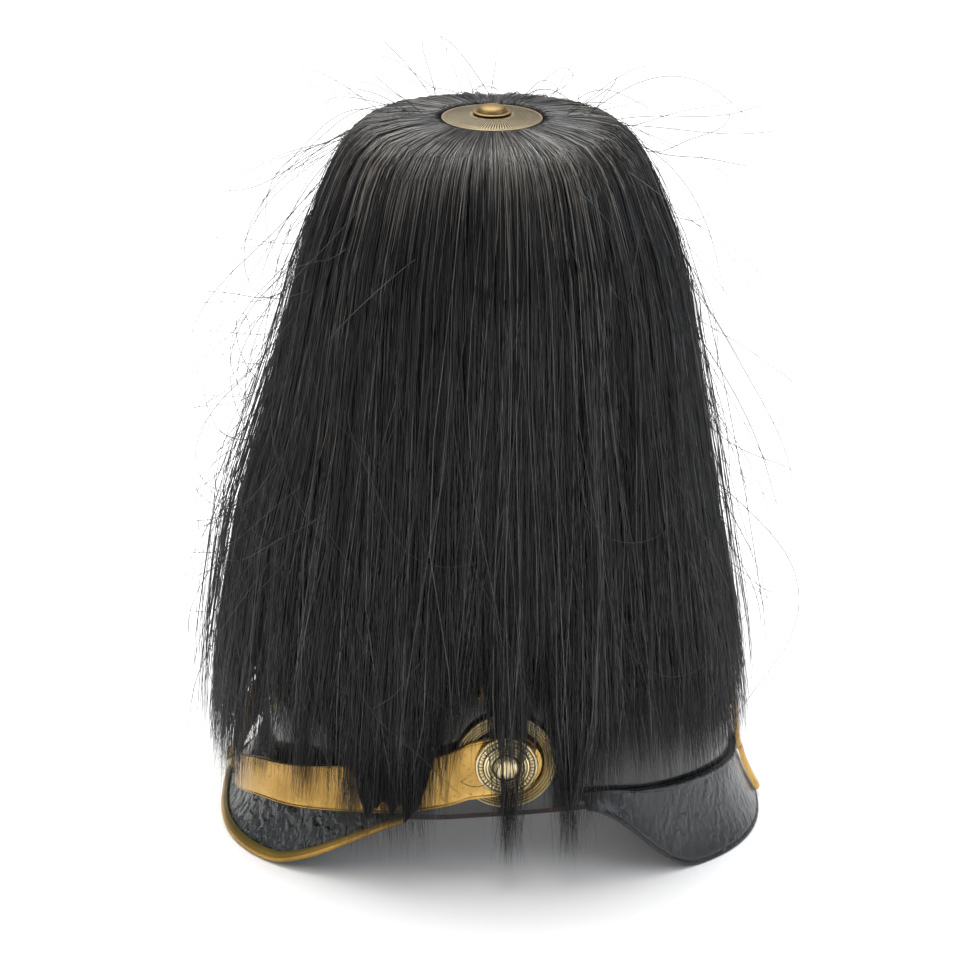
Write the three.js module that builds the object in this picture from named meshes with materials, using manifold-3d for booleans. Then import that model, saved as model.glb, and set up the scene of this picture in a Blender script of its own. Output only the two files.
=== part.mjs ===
// Pickelhaube with a falling horsehair parade plume, in millimetres, +Z up.
// The front faces -Y and the wearer's left is +X. The plume's axis is the shell's own axis.
// The helmet rests on the brass-edged visor and on the neck guard.

import * as THREE from "three";
import { mergeVertices } from "three/addons/utils/BufferGeometryUtils.js";
import Module from "manifold-3d";

const wasm = await Module();
wasm.setup();

// Driving dimensions

const GAP = 0.3; // clearance between pieces that touch on the real helmet

const SHELL_FRONT = 114; // from the plume's axis to the forehead, at the rim
const SHELL_REAR = 129;
const SHELL_HALF_WIDTH = 94;
const SHELL_WALL = 3;
const SHELL_TOP = 170; // crown height above the surface
const SHELL_PLAN_POWER = 2.15; // 2 is an ellipse, more is squarer
const SHELL_DOME_POWER = 2.8;
const RIM_HEIGHT = 40; // rim above the surface, at the ears

const SWEATBAND_WALL = 1.6;
const SWEATBAND_DROP = 4; // how far it shows below the rim
const SWEATBAND_RISE = 22;

const VISOR_SPREAD = 22.5; // how far the leather edge lies past the shell at the front
const VISOR_SIDE_SPREAD = 2.5; // the same at the sides
const VISOR_PLAN_POWER = 2.7;
const VISOR_WALL = 2.2;
const VISOR_END = 66; // degrees from the front where the visor runs out
const VISOR_LAP = 6; // how far it laps up the shell

const GUARD_SPREAD = 16; // how far its edge lies past the shell at the rear
const GUARD_SIDE_SPREAD = 4; // the same at the sides
const GUARD_PLAN_POWER = 2.5;
const GUARD_WALL = 2.4;
const GUARD_END = 117; // degrees from the front where the guard starts
const GUARD_LAP = 8;

const REST_CUT = 0.9; // how much of the lowest edges is worn flat where they touch the surface
const EDGE_SLOPE = 50; // fall of both brims at their edges, in degrees

const TRIM_WALL = 0.8; // brass channel round the visor's edge
const TRIM_DEPTH = 8;

const STRAP_STAND = 1.65; // how far the band's lower edge stands off the visor, at the front
const STRAP_WALL = 1.6;
const STRAP_PLAN_POWER = 2.25;
const STRAP_HALF_HEIGHT = 13.6; // half of the band's height behind the visor
const STRAP_LUG_RADIUS = 17; // rounded end under the rosette

const SIDE_FITTING_HEIGHT = 69.6; // centre of cockade and rosette above the surface
const SIDE_FITTING_OFFSET = 7.8; // how far behind the axis they sit
const COCKADE_RADIUS = 25.5;
const COCKADE_DEPTH = 3;
const ROSETTE_RADIUS = 15.6;
const ROSETTE_DEPTH = 5.2;

const SIDE_STUD_HEIGHT = 105;
const SIDE_STUD_OFFSET = -4; // ahead of the axis
const SIDE_STUD_RADIUS = 3.8;

const BUCKLE_RADIUS = 6.4;
const BUCKLE_DEPTH = 4;

const PLATE_HALF_WIDTH = 60; // along the shell
const PLATE_HALF_HEIGHT = 46;
const PLATE_HEIGHT = 102; // centre above the surface
const PLATE_WALL = 1.4;
const PLATE_CROWN = 3; // how far its middle swells from the shell
const PLATE_RAYS = 16;
const PLATE_LIFT = 1.2; // keeps its flat facets off the shell's curve

const SPINE_WIDTH = 10;
const SPINE_WALL = 1.4;
const SPINE_LIFT = 0.9; // keeps its flat facets off the leather's curve

const BASE_RADIUS = 34; // plate that carries the plume holder on the crown
const BASE_WALL = 2;
const NECK_RADIUS = 11;
const FUNNEL_RADIUS = 20;
const FUNNEL_HEIGHT = 46;

const DISC_HEIGHT = 371; // rim of the cap disc above the surface
const DISC_RADIUS = 24.6;
const DISC_WALL = 1.6;
const DISC_DISH = 1.4; // how far the middle lies below the rim
const BUTTON_RADIUS = 9.5;
const BUTTON_DEPTH = 5.4;

const PLUME_END_STAND = 1; // how far the hair spreads past the guard's edge
const PLUME_SIDE_STAND = 13; // how far it spreads past the strap, at the sides
const PLUME_WALL = 5;
const PLUME_LOCKS = 28;
const PLUME_LOCK_DEPTH = 4; // height of a lock above the valley beside it
const PLUME_NOTCH = 46; // how far up the locks part at their tips
const PLUME_PLAN_POWER = 2.2;

// Rim line: azimuth in degrees from the front, height as a share of RIM_HEIGHT
const RIM_LINE = [
  { azimuth: 0, height: 0.77 },
  { azimuth: 45, height: 0.86 },
  { azimuth: 70, height: 0.925 },
  { azimuth: 90, height: 1.0 },
  { azimuth: 122, height: 1.03 },
  { azimuth: 134, height: 0.945 },
  { azimuth: 158, height: 0.81 },
  { azimuth: 180, height: 0.62 },
];

// Chin strap: azimuth in degrees from the front, middle as a share of SIDE_FITTING_HEIGHT,
// half as a share of STRAP_HALF_HEIGHT
const STRAP_LINE = [
  { azimuth: 0, middle: 0.33, half: 0.71 },
  { azimuth: 11, middle: 0.41, half: 0.74 },
  { azimuth: 24, middle: 0.555, half: 0.8 },
  { azimuth: 36, middle: 0.63, half: 0.87 },
  { azimuth: 50, middle: 0.72, half: 0.95 },
  { azimuth: 65, middle: 0.79, half: 1.02 },
  { azimuth: 78, middle: 0.875, half: 1.07 },
  { azimuth: 84, middle: 0.945, half: 1.15 },
];

// Fall of the hair from the head under the disc to the tips: drop as a share of DISC_HEIGHT,
// reach as a share of plumeReach, squeeze as the share of the sideways narrowing reached there
const PLUME_FALL = [
  { drop: 0.011, reach: 0.15, squeeze: 0 },
  { drop: 0.013, reach: 0.3, squeeze: 0 },
  { drop: 0.019, reach: 0.42, squeeze: 0 },
  { drop: 0.048, reach: 0.52, squeeze: 0 },
  { drop: 0.13, reach: 0.61, squeeze: 0.1 },
  { drop: 0.25, reach: 0.69, squeeze: 0.32 },
  { drop: 0.42, reach: 0.805, squeeze: 0.62 },
  { drop: 0.63, reach: 0.93, squeeze: 0.9 },
  { drop: 0.93, reach: 1.0, squeeze: 1 },
];

// Lowest tips of the locks: azimuth in degrees from the front, height as a share of DISC_HEIGHT
const PLUME_TIPS = [
  { azimuth: 0, height: 0.185 },
  { azimuth: 25, height: 0.17 },
  { azimuth: 45, height: 0.14 },
  { azimuth: 60, height: 0.11 },
  { azimuth: 76, height: 0.12 },
  { azimuth: 82, height: 0.295 },
  { azimuth: 99, height: 0.295 },
  { azimuth: 105, height: 0.105 },
  { azimuth: 118, height: 0.105 },
  { azimuth: 132, height: 0.175 },
  { azimuth: 156, height: 0.185 },
  { azimuth: 180, height: 0.17 },
];

// Finishes

const finish = (color, roughness, metalness) =>
  new THREE.MeshStandardMaterial({ color, roughness, metalness });
const blackLeather = finish(0x17181a, 0.32, 0);
const brownLeather = finish(0x3a2a20, 0.7, 0);
const goldBrass = finish(0xd9a94e, 0.28, 1);
const agedBrass = finish(0x8f7a45, 0.42, 1);
const horsehair = finish(0x17171a, 0.55, 0);

// Small helpers

const radians = THREE.MathUtils.degToRad;
const lerp = THREE.MathUtils.lerp;
const clamp = THREE.MathUtils.clamp;

// Angle from the front, 0 to 180 degrees, whichever side it is on.
const foldAzimuth = (azimuth) => Math.abs(THREE.MathUtils.euclideanModulo(azimuth + 180, 360) - 180);

// Value of a table's column at a key, eased between its rows.
function readTable(rows, keyName, column, key) {
  const last = rows.length - 1;
  if (key <= rows[0][keyName]) return rows[0][column];
  if (key >= rows[last][keyName]) return rows[last][column];
  const i = rows.findIndex((row) => row[keyName] > key) - 1;
  const slope = (k) => {
    // Azimuths 0 and 180 are on the mirror plane, where every line runs level.
    if (keyName === "azimuth" && rows[k][keyName] % 180 === 0) return 0;
    const a = rows[Math.max(k - 1, 0)];
    const b = rows[Math.min(k + 1, last)];
    return (b[column] - a[column]) / (b[keyName] - a[keyName]);
  };
  const span = rows[i + 1][keyName] - rows[i][keyName];
  const t = (key - rows[i][keyName]) / span;
  const h00 = 2 * t ** 3 - 3 * t ** 2 + 1;
  const h10 = t ** 3 - 2 * t ** 2 + t;
  const h01 = -2 * t ** 3 + 3 * t ** 2;
  const h11 = t ** 3 - t ** 2;
  return (
    h00 * rows[i][column] +
    h10 * span * slope(i) +
    h01 * rows[i + 1][column] +
    h11 * span * slope(i + 1)
  );
}

// Distance from the axis to a rounded-square outline in a direction.
function planRadius(azimuth, front, rear, halfWidth, power) {
  const c = Math.cos(radians(azimuth));
  const s = Math.sin(radians(azimuth));
  const reach = c >= 0 ? front : rear;
  return ((Math.abs(c) / reach) ** power + (Math.abs(s) / halfWidth) ** power) ** (-1 / power);
}

// Point at a distance from the axis in a direction: 0 is the front, 90 the wearer's left.
const polar = (azimuth, radius, height) =>
  new THREE.Vector3(
    radius * Math.sin(radians(azimuth)),
    -radius * Math.cos(radians(azimuth)),
    height,
  );

// A closed geometry from points and triangles, turned so that its faces point outwards.
function closedGeometry(points, triangles) {
  let volume = 0;
  for (const [a, b, c] of triangles) {
    volume += points[a].dot(new THREE.Vector3().crossVectors(points[b], points[c]));
  }
  const ordered = volume < 0 ? triangles.map(([a, b, c]) => [a, c, b]) : triangles;
  const geometry = new THREE.BufferGeometry().setFromPoints(points);
  geometry.setIndex(ordered.flat());
  return geometry;
}

// A wall between two skins, each a function of u (across) and v (from the first edge to the last).
// It closes on itself round u when ring is true, and ends in one point at v = 1 when pole is true.
function wallGeometry(skins, columns, rows, { ring = false, pole = false } = {}) {
  const points = [];
  const across = ring ? columns : columns + 1;
  const indices = skins.map((skin) => {
    const grid = [];
    for (let j = 0; j <= rows; j++) {
      const line = [];
      for (let i = 0; i < across; i++) {
        if (pole && j === rows && i > 0) {
          line.push(line[0]);
        } else {
          line.push(points.length);
          points.push(skin(i / columns, j / rows));
        }
      }
      grid.push(line);
    }
    return grid;
  });
  const [outer, inner] = indices;
  const triangles = [];
  const quad = (a, b, c, d) => {
    if (a !== b) triangles.push([a, b, c]);
    if (c !== d) triangles.push([a, c, d]);
  };
  for (let i = 0; i < columns; i++) {
    const n = (i + 1) % across;
    for (let j = 0; j < rows; j++) {
      quad(outer[j][i], outer[j][n], outer[j + 1][n], outer[j + 1][i]);
      quad(inner[j][n], inner[j][i], inner[j + 1][i], inner[j + 1][n]);
    }
    quad(inner[0][i], inner[0][n], outer[0][n], outer[0][i]);
    if (!pole) quad(outer[rows][i], outer[rows][n], inner[rows][n], inner[rows][i]);
  }
  if (!ring) {
    for (let j = 0; j < rows; j++) {
      quad(inner[j][0], outer[j][0], outer[j + 1][0], inner[j + 1][0]);
      quad(outer[j][columns], inner[j][columns], inner[j + 1][columns], outer[j + 1][columns]);
    }
  }
  return closedGeometry(points, triangles);
}

// A solid through sections that all have the same points, with both ends capped.
function loftGeometry(sections, contour) {
  const count = contour.length;
  const points = sections.flat();
  const triangles = [];
  for (let j = 0; j + 1 < sections.length; j++) {
    for (let i = 0; i < count; i++) {
      const n = (i + 1) % count;
      const [a, b] = [j * count + i, j * count + n];
      triangles.push([a, b, b + count], [a, b + count, a + count]);
    }
  }
  const cap = THREE.ShapeUtils.triangulateShape(contour, []);
  const signed = THREE.ShapeUtils.area(contour) > 0 ? 1 : -1;
  const end = (sections.length - 1) * count;
  for (const [a, b, c] of cap) {
    triangles.push(signed > 0 ? [a, c, b] : [a, b, c]);
    triangles.push(signed > 0 ? [end + a, end + b, end + c] : [end + a, end + c, end + b]);
  }
  return closedGeometry(points, triangles);
}

const toSolid = (geometry) => {
  const bare = new THREE.BufferGeometry();
  bare.setAttribute("position", geometry.getAttribute("position"));
  bare.setIndex(geometry.index);
  const merged = mergeVertices(bare, 1e-4);
  return new wasm.Manifold(
    new wasm.Mesh({
      numProp: 3,
      vertProperties: merged.attributes.position.array,
      triVerts: new Uint32Array(merged.index.array),
    }),
  );
};

const fromSolid = (solid) => {
  const { vertProperties, triVerts } = solid.getMesh();
  const geometry = new THREE.BufferGeometry();
  geometry.setAttribute("position", new THREE.BufferAttribute(new Float32Array(vertProperties), 3));
  geometry.setIndex(new THREE.BufferAttribute(new Uint32Array(triVerts), 1));
  return geometry;
};

// Takes away whatever lies below the surface that the helmet rests on.
function cutAtSurface(geometry) {
  const size = 4 * guardReach;
  const block = new THREE.BoxGeometry(size, size, size).translate(0, 0, -size / 2);
  return fromSolid(toSolid(geometry).subtract(toSolid(block)));
}

const helmet = new THREE.Group();

function addMesh(name, geometry, material, parent = helmet) {
  const mesh = new THREE.Mesh(geometry, material);
  mesh.name = name;
  parent.add(mesh);
  return mesh;
}

// Shell and sweatband

const SHELL_COLUMNS = 44;

const rimHeight = (azimuth) =>
  RIM_HEIGHT * readTable(RIM_LINE, "azimuth", "height", foldAzimuth(azimuth));

const shellPlan = (azimuth) =>
  planRadius(azimuth, SHELL_FRONT, SHELL_REAR, SHELL_HALF_WIDTH, SHELL_PLAN_POWER);

// Share of the rim's radius left at a height, for a dome that starts at the rim.
function domeShare(azimuth, height, top) {
  const rise = clamp((height - rimHeight(azimuth)) / (top - rimHeight(azimuth)), 0, 1);
  return (1 - rise ** SHELL_DOME_POWER) ** (1 / SHELL_DOME_POWER);
}

const shellOuter = (azimuth, height) =>
  shellPlan(azimuth) * domeShare(azimuth, height, SHELL_TOP);
const shellInner = (azimuth, height) =>
  (shellPlan(azimuth) - SHELL_WALL) * domeShare(azimuth, height, SHELL_TOP - SHELL_WALL);

function makeShell() {
  const skin = (inset) => (u, v) => {
    const azimuth = 360 * u;
    const turn = (Math.PI / 2) * v;
    const share = v === 1 ? 0 : Math.cos(turn) ** (2 / SHELL_DOME_POWER);
    const rise = Math.sin(turn) ** (2 / SHELL_DOME_POWER);
    const rim = rimHeight(azimuth);
    const radius = (shellPlan(azimuth) - inset) * share;
    return polar(azimuth, radius, rim + (SHELL_TOP - inset - rim) * rise);
  };
  addMesh(
    "shell",
    wallGeometry([skin(0), skin(SHELL_WALL)], SHELL_COLUMNS, 10, { ring: true, pole: true }),
    blackLeather,
  );
}

function makeSweatband() {
  const skin = (inset) => (u, v) => {
    const azimuth = 360 * u;
    const height = rimHeight(azimuth) - SWEATBAND_DROP + (SWEATBAND_DROP + SWEATBAND_RISE) * v;
    return polar(azimuth, shellInner(azimuth, height) - inset, height);
  };
  // The facets of the band and the shell share their azimuths, so one gap holds all round.
  const outer = skin(2 * GAP);
  const inner = skin(2 * GAP + SWEATBAND_WALL);
  addMesh("sweatband", wallGeometry([outer, inner], SHELL_COLUMNS, 2, { ring: true }), brownLeather);
}

// Visor and neck guard

const BRIM_ROWS = 5;
const BRIM_COLUMNS = 36;

// A brim that laps up the shell along its seam and flares out to its edge.
// The edge lies on the surface over its middle stretch and rises to the rim at both ends.
function makeBrimSurface(brim) {
  const { reach, halfWidth, power, lap, end, wall, shoe, restTurn, ease } = brim;
  // A shoe is the thickness of what is folded round the edge, which then rests in its place.
  const below = (wall / 2 + shoe) * Math.cos(radians(EDGE_SLOPE));
  const restHeight = below + shoe * Math.sin(radians(EDGE_SLOPE)) - REST_CUT;
  const edgeRadius = (azimuth) => planRadius(azimuth, reach, reach, halfWidth, power);
  const restEnd = Math.abs(polar(restTurn, edgeRadius(restTurn), 0).y);
  const riseEnd = Math.abs(polar(end, edgeRadius(end), 0).y);
  const edgeHeight = (azimuth) => {
    const along = Math.abs(polar(azimuth, edgeRadius(azimuth), 0).y);
    const t = clamp((restEnd - along) / (restEnd - riseEnd), 0, 1);
    const eased = lerp(t, t * t * (3 - 2 * t), ease);
    return lerp(restHeight, rimHeight(end), eased);
  };
  // Middle surface at an azimuth: v = 0 on the shell, v = 1 at the edge.
  return (azimuth, v) => {
    const seamHeight = rimHeight(azimuth) + lap;
    const away = wall / 2 + 2 * GAP;
    const seam = polar(azimuth, shellOuter(azimuth, rimHeight(azimuth)) + away, seamHeight);
    const edge = polar(azimuth, edgeRadius(azimuth), edgeHeight(azimuth));
    const knee = seam.clone().lerp(edge, 0.3);
    knee.z = lerp(seam.z, edge.z, 0.52);
    return new THREE.QuadraticBezierCurve3(seam, knee, edge).getPoint(v);
  };
}

const visorSurface = makeBrimSurface({
  reach: SHELL_FRONT + VISOR_SPREAD,
  halfWidth: SHELL_HALF_WIDTH + VISOR_SIDE_SPREAD,
  power: VISOR_PLAN_POWER,
  lap: VISOR_LAP,
  end: VISOR_END,
  wall: VISOR_WALL,
  shoe: GAP + TRIM_WALL,
  restTurn: 34,
  ease: 0.25,
});

const guardReach = SHELL_REAR + GUARD_SPREAD;

const guardSurface = makeBrimSurface({
  reach: guardReach,
  halfWidth: SHELL_HALF_WIDTH + GUARD_SIDE_SPREAD,
  power: GUARD_PLAN_POWER,
  lap: GUARD_LAP,
  end: GUARD_END,
  wall: GUARD_WALL,
  shoe: 0,
  restTurn: 145,
  ease: 1,
});

// Unit vectors of a surface: along its azimuth, out towards its edge, and off its upper face.
// The step matches the rows of the brims, so a frame lies along a facet.
function surfaceFrame(surface, azimuth, v) {
  const step = 1 / BRIM_ROWS;
  const [v0, v1] = v > 0.5 ? [v - step, v] : [v, v + step];
  const along = surface(azimuth + 0.5, v).sub(surface(azimuth - 0.5, v)).normalize();
  const out = surface(azimuth, v1).sub(surface(azimuth, v0)).normalize();
  const off = new THREE.Vector3().crossVectors(out, along).normalize();
  if (off.dot(polar(azimuth, 1, 0.5)) < 0) off.negate();
  return { along, out, off };
}

function brimSkin(surface, start, end, offset) {
  return (u, v) => {
    const azimuth = lerp(start, end, u);
    const { off } = surfaceFrame(surface, azimuth, v);
    return surface(azimuth, v).addScaledVector(off, offset);
  };
}

function makeVisor() {
  const half = VISOR_WALL / 2;
  const skins = [half, -half].map((offset) =>
    brimSkin(visorSurface, -VISOR_END, VISOR_END, offset),
  );
  addMesh("front_visor", wallGeometry(skins, BRIM_COLUMNS, BRIM_ROWS), blackLeather);
}

// Brass channel of U section folded round the visor's edge, worn flat where it rests.
function makeVisorTrim() {
  const inside = VISOR_WALL / 2 + GAP;
  const outside = inside + TRIM_WALL;
  const channel = (depth) => [
    new THREE.Vector2(GAP + TRIM_WALL, -outside),
    new THREE.Vector2(GAP + TRIM_WALL, outside),
    new THREE.Vector2(-depth, outside),
    new THREE.Vector2(-depth, inside),
    new THREE.Vector2(GAP, inside),
    new THREE.Vector2(GAP, -inside),
    new THREE.Vector2(-depth, -inside),
    new THREE.Vector2(-depth, -outside),
  ];
  const sections = [];
  for (let i = 0; i <= BRIM_COLUMNS; i++) {
    const azimuth = lerp(-VISOR_END, VISOR_END, i / BRIM_COLUMNS);
    const { out, off } = surfaceFrame(visorSurface, azimuth, 1);
    const edge = visorSurface(azimuth, 1);
    // The channel grows shallow where the visor runs out into the rim.
    const facet = edge.distanceTo(visorSurface(azimuth, 1 - 1 / BRIM_ROWS));
    const depth = Math.min(TRIM_DEPTH, 1.6 * facet);
    sections.push(
      channel(depth).map((p) =>
        edge.clone().addScaledVector(out, p.x).addScaledVector(off, p.y),
      ),
    );
  }
  const trim = loftGeometry(sections, channel(TRIM_DEPTH));
  addMesh("visor_trim", cutAtSurface(trim), goldBrass);
}

function makeNeckGuard() {
  const half = GUARD_WALL / 2;
  const skins = [half, -half].map((offset) =>
    brimSkin(guardSurface, GUARD_END, 360 - GUARD_END, offset),
  );
  addMesh("neck_guard", cutAtSurface(wallGeometry(skins, BRIM_COLUMNS, BRIM_ROWS)), blackLeather);
}

// Side fittings

const sideSeat =
  shellOuter(90, SIDE_FITTING_HEIGHT - COCKADE_RADIUS / 2) + GAP;
const cockadeFace = sideSeat + COCKADE_DEPTH;
const strapInner = cockadeFace + 3 * GAP; // the band curves in a little over the cockade's front edge
const strapOuter = strapInner + STRAP_WALL;

// A turned piece seated on the plane x = seat, with its own axis pointing away from the helmet.
function addTurned(name, profile, sides, material, side, seat, y, z) {
  const points = profile.map(([radius, depth]) => new THREE.Vector2(radius, depth));
  const geometry = new THREE.LatheGeometry(points, sides);
  const mesh = addMesh(name, geometry, material);
  mesh.rotation.z = side > 0 ? -Math.PI / 2 : Math.PI / 2;
  mesh.position.set(side * seat, y, z);
  return mesh;
}

function makeSideFittings() {
  const R = COCKADE_RADIUS;
  const D = COCKADE_DEPTH;
  const cockade = [
    [0, 0],
    [0.94 * R, 0],
    [R, 0.5 * D],
    [0.97 * R, 0.9 * D],
    [0.88 * R, D],
    [0.76 * R, 0.9 * D],
    [0.7 * R, 0.4 * D],
    [0, 0.4 * D],
  ];
  const r = ROSETTE_RADIUS;
  const d = ROSETTE_DEPTH;
  const rosette = [
    [0, 0],
    [0.94 * r, 0],
    [r, 0.25 * d],
    [0.94 * r, 0.46 * d],
    [0.84 * r, 0.36 * d],
    [0.7 * r, 0.56 * d],
    [0.46 * r, 0.62 * d],
    [0.36 * r, 0.9 * d],
    [0, d],
  ];
  const s = SIDE_STUD_RADIUS;
  const stud = [
    [0, 0],
    [s, 0],
    [s, 0.4 * s],
    [0.7 * s, 0.9 * s],
    [0, 1.1 * s],
  ];
  for (const [label, side] of [["left", 1], ["right", -1]]) {
    const place = [side, sideSeat, SIDE_FITTING_OFFSET, SIDE_FITTING_HEIGHT];
    addTurned("cockade_" + label, cockade, 28, agedBrass, ...place);
    place[1] = strapOuter + GAP;
    addTurned("rosette_" + label, rosette, 24, agedBrass, ...place);
    const studSeat = shellOuter(90, SIDE_STUD_HEIGHT - SIDE_STUD_RADIUS) + GAP;
    const studPlace = [side, studSeat, SIDE_STUD_OFFSET, SIDE_STUD_HEIGHT];
    addTurned("side_stud_" + label, stud, 14, goldBrass, ...studPlace);
  }
}

// Chin strap: one band from lug to lug round the front, lying on the visor in the middle

// Distance from the axis to the visor's upper face at a height, straight ahead.
function visorFaceReach(height) {
  let [above, below] = [0, 1];
  for (let i = 0; i < 30; i++) {
    const v = (above + below) / 2;
    if (visorSurface(0, v).z > height) {
      above = v;
    } else {
      below = v;
    }
  }
  const { off } = surfaceFrame(visorSurface, 0, below);
  return -visorSurface(0, below).addScaledVector(off, VISOR_WALL / 2).y;
}

const bandMiddle = (turn) =>
  readTable(STRAP_LINE, "azimuth", "middle", turn) * SIDE_FITTING_HEIGHT;
const bandHalf = (turn) => readTable(STRAP_LINE, "azimuth", "half", turn) * STRAP_HALF_HEIGHT;
const strapReach = visorFaceReach(bandMiddle(0) - bandHalf(0)) + STRAP_STAND;

const strapPlan = (azimuth, offset) =>
  planRadius(
    azimuth,
    strapReach + offset,
    strapReach + offset,
    strapInner + offset,
    STRAP_PLAN_POWER,
  );

function makeChinStrap() {
  const lugCentre = THREE.MathUtils.radToDeg(Math.atan2(strapInner, -SIDE_FITTING_OFFSET));
  const lugReach = THREE.MathUtils.radToDeg(STRAP_LUG_RADIUS / strapInner);
  const lastTableRow = STRAP_LINE[STRAP_LINE.length - 1].azimuth;
  // Middle height and half height of the band; past the table it rounds off about the lug's centre.
  const bandAt = (azimuth) => {
    const turn = Math.abs(azimuth);
    const blend = clamp((turn - lastTableRow) / (lugCentre - lastTableRow), 0, 1);
    const past = clamp((turn - lugCentre) / lugReach, 0, 0.985);
    return {
      middle: lerp(bandMiddle(turn), SIDE_FITTING_HEIGHT, blend),
      half: lerp(bandHalf(turn), STRAP_LUG_RADIUS, blend) * Math.sqrt(1 - past * past),
    };
  };
  const lastTurn = lugCentre + lugReach * 0.985;
  const stations = [];
  const steps = 34;
  for (let i = -steps; i <= steps; i++) {
    // Stations crowd together towards the rounded lugs.
    const t = Math.sin((Math.PI / 2) * Math.abs(i / steps) * 0.94) / Math.sin(0.47 * Math.PI);
    stations.push(Math.sign(i) * lastTurn * t);
  }
  const contour = [
    new THREE.Vector2(0, -1),
    new THREE.Vector2(STRAP_WALL, -1),
    new THREE.Vector2(STRAP_WALL, 1),
    new THREE.Vector2(0, 1),
  ];
  const sections = stations.map((azimuth) => {
    const { middle, half } = bandAt(azimuth);
    return contour.map((p) =>
      polar(azimuth, strapPlan(azimuth, p.x), middle + half * p.y),
    );
  });
  addMesh("chin_strap", loftGeometry(sections, contour), goldBrass);
}

// Small domed buckle at the middle of the strap.
function makeBuckle() {
  const r = BUCKLE_RADIUS;
  const d = BUCKLE_DEPTH;
  const profile = [
    [0, 0],
    [r, 0],
    [r, 0.2 * d],
    [0.8 * r, 0.3 * d],
    [0.6 * r, 0.8 * d],
    [0, d],
  ];
  const points = profile.map(([radius, depth]) => new THREE.Vector2(radius, depth));
  const mesh = addMesh("strap_buckle", new THREE.LatheGeometry(points, 16), agedBrass);
  mesh.rotation.x = Math.PI;
  mesh.position.set(0, -(strapReach + STRAP_WALL + GAP), bandMiddle(0));
}

// Front plate: a plain rayed star that follows the shell's curve

function makeFrontPlate() {
  const frontRadius = shellOuter(0, PLATE_HEIGHT);
  const columns = 2 * PLATE_RAYS;
  const skin = (offset) => (u, v) => {
    const turn = 2 * Math.PI * u;
    const ray = 0.86 + 0.14 * Math.cos(PLATE_RAYS * turn);
    const share = (1 - v) * ray;
    const aside = PLATE_HALF_WIDTH * share * Math.sin(turn);
    const up = PLATE_HALF_HEIGHT * share * Math.cos(turn);
    const azimuth = THREE.MathUtils.radToDeg(aside / frontRadius);
    const height = PLATE_HEIGHT + up;
    const lift = GAP + offset + PLATE_CROWN * v * v;
    return polar(azimuth, shellOuter(azimuth, height) + lift, height);
  };
  const skins = [skin(PLATE_LIFT + PLATE_WALL), skin(PLATE_LIFT)];
  addMesh("front_plate", wallGeometry(skins, columns, 3, { ring: true, pole: true }), agedBrass);
}

// Rear spine: a strip from the crown plate down the back and over the guard

function makeRearSpine() {
  const path = [];
  const seamHeight = rimHeight(180) + GUARD_LAP;
  const start = Math.asin(0.97);
  for (let i = 0; i <= 14; i++) {
    const turn = lerp(start, 0.2, i / 14);
    const share = Math.cos(turn) ** (2 / SHELL_DOME_POWER);
    const rise = Math.sin(turn) ** (2 / SHELL_DOME_POWER);
    const rim = rimHeight(180);
    const height = rim + (SHELL_TOP - rim) * rise;
    if (height < seamHeight + 1.2 * SPINE_WIDTH) break;
    const out = new THREE.Vector3(0, share ** 1.4, rise ** 2).normalize();
    path.push(polar(180, SHELL_REAR * share, height).addScaledVector(out, SPINE_LIFT));
  }
  for (let i = 0; i <= 6; i++) {
    const v = lerp(0, 0.94, i / 6);
    const { off } = surfaceFrame(guardSurface, 180, v);
    path.push(guardSurface(180, v).addScaledVector(off, GUARD_WALL / 2 + SPINE_LIFT));
  }
  const curve = new THREE.CatmullRomCurve3(path, false, "centripetal");
  const half = SPINE_WIDTH / 2;
  const contour = [
    new THREE.Vector2(-half, 0),
    new THREE.Vector2(half, 0),
    new THREE.Vector2(half * 0.7, SPINE_WALL),
    new THREE.Vector2(-half * 0.7, SPINE_WALL),
  ];
  const across = new THREE.Vector3(1, 0, 0);
  const steps = 30;
  const sections = [];
  for (let i = 0; i <= steps; i++) {
    const tangent = curve.getTangentAt(i / steps);
    const off = new THREE.Vector3().crossVectors(tangent, across).normalize();
    if (off.y + off.z < 0) off.negate();
    const centre = curve.getPointAt(i / steps);
    // The lower end is rounded in plan.
    const round = Math.sqrt(1 - clamp((i / steps - 0.97) / 0.035, 0, 1) ** 2);
    sections.push(
      contour.map((p) =>
        centre.clone().addScaledVector(across, p.x * round).addScaledVector(off, p.y),
      ),
    );
  }
  addMesh("rear_spine", loftGeometry(sections, contour), goldBrass);
}

// Plume holder, cap and plume

// Widest spread of the hair at the front and the rear: past the guard's edge, and past the
// spine where that stands out further.
const spineReach = SHELL_REAR + SPINE_LIFT + SPINE_WALL + PLUME_WALL + PLUME_LOCK_DEPTH;
const plumeReach = Math.max(guardReach, spineReach) + PLUME_END_STAND;
const plumeHalfWidth = strapOuter + PLUME_SIDE_STAND;
const discUnderside = DISC_HEIGHT - DISC_DISH - DISC_WALL;

function addAxial(name, profile, sides, material) {
  const points = profile.map(([radius, height]) => new THREE.Vector2(radius, height));
  const geometry = new THREE.LatheGeometry(points, sides).rotateX(Math.PI / 2);
  return addMesh(name, geometry, material);
}

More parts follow.
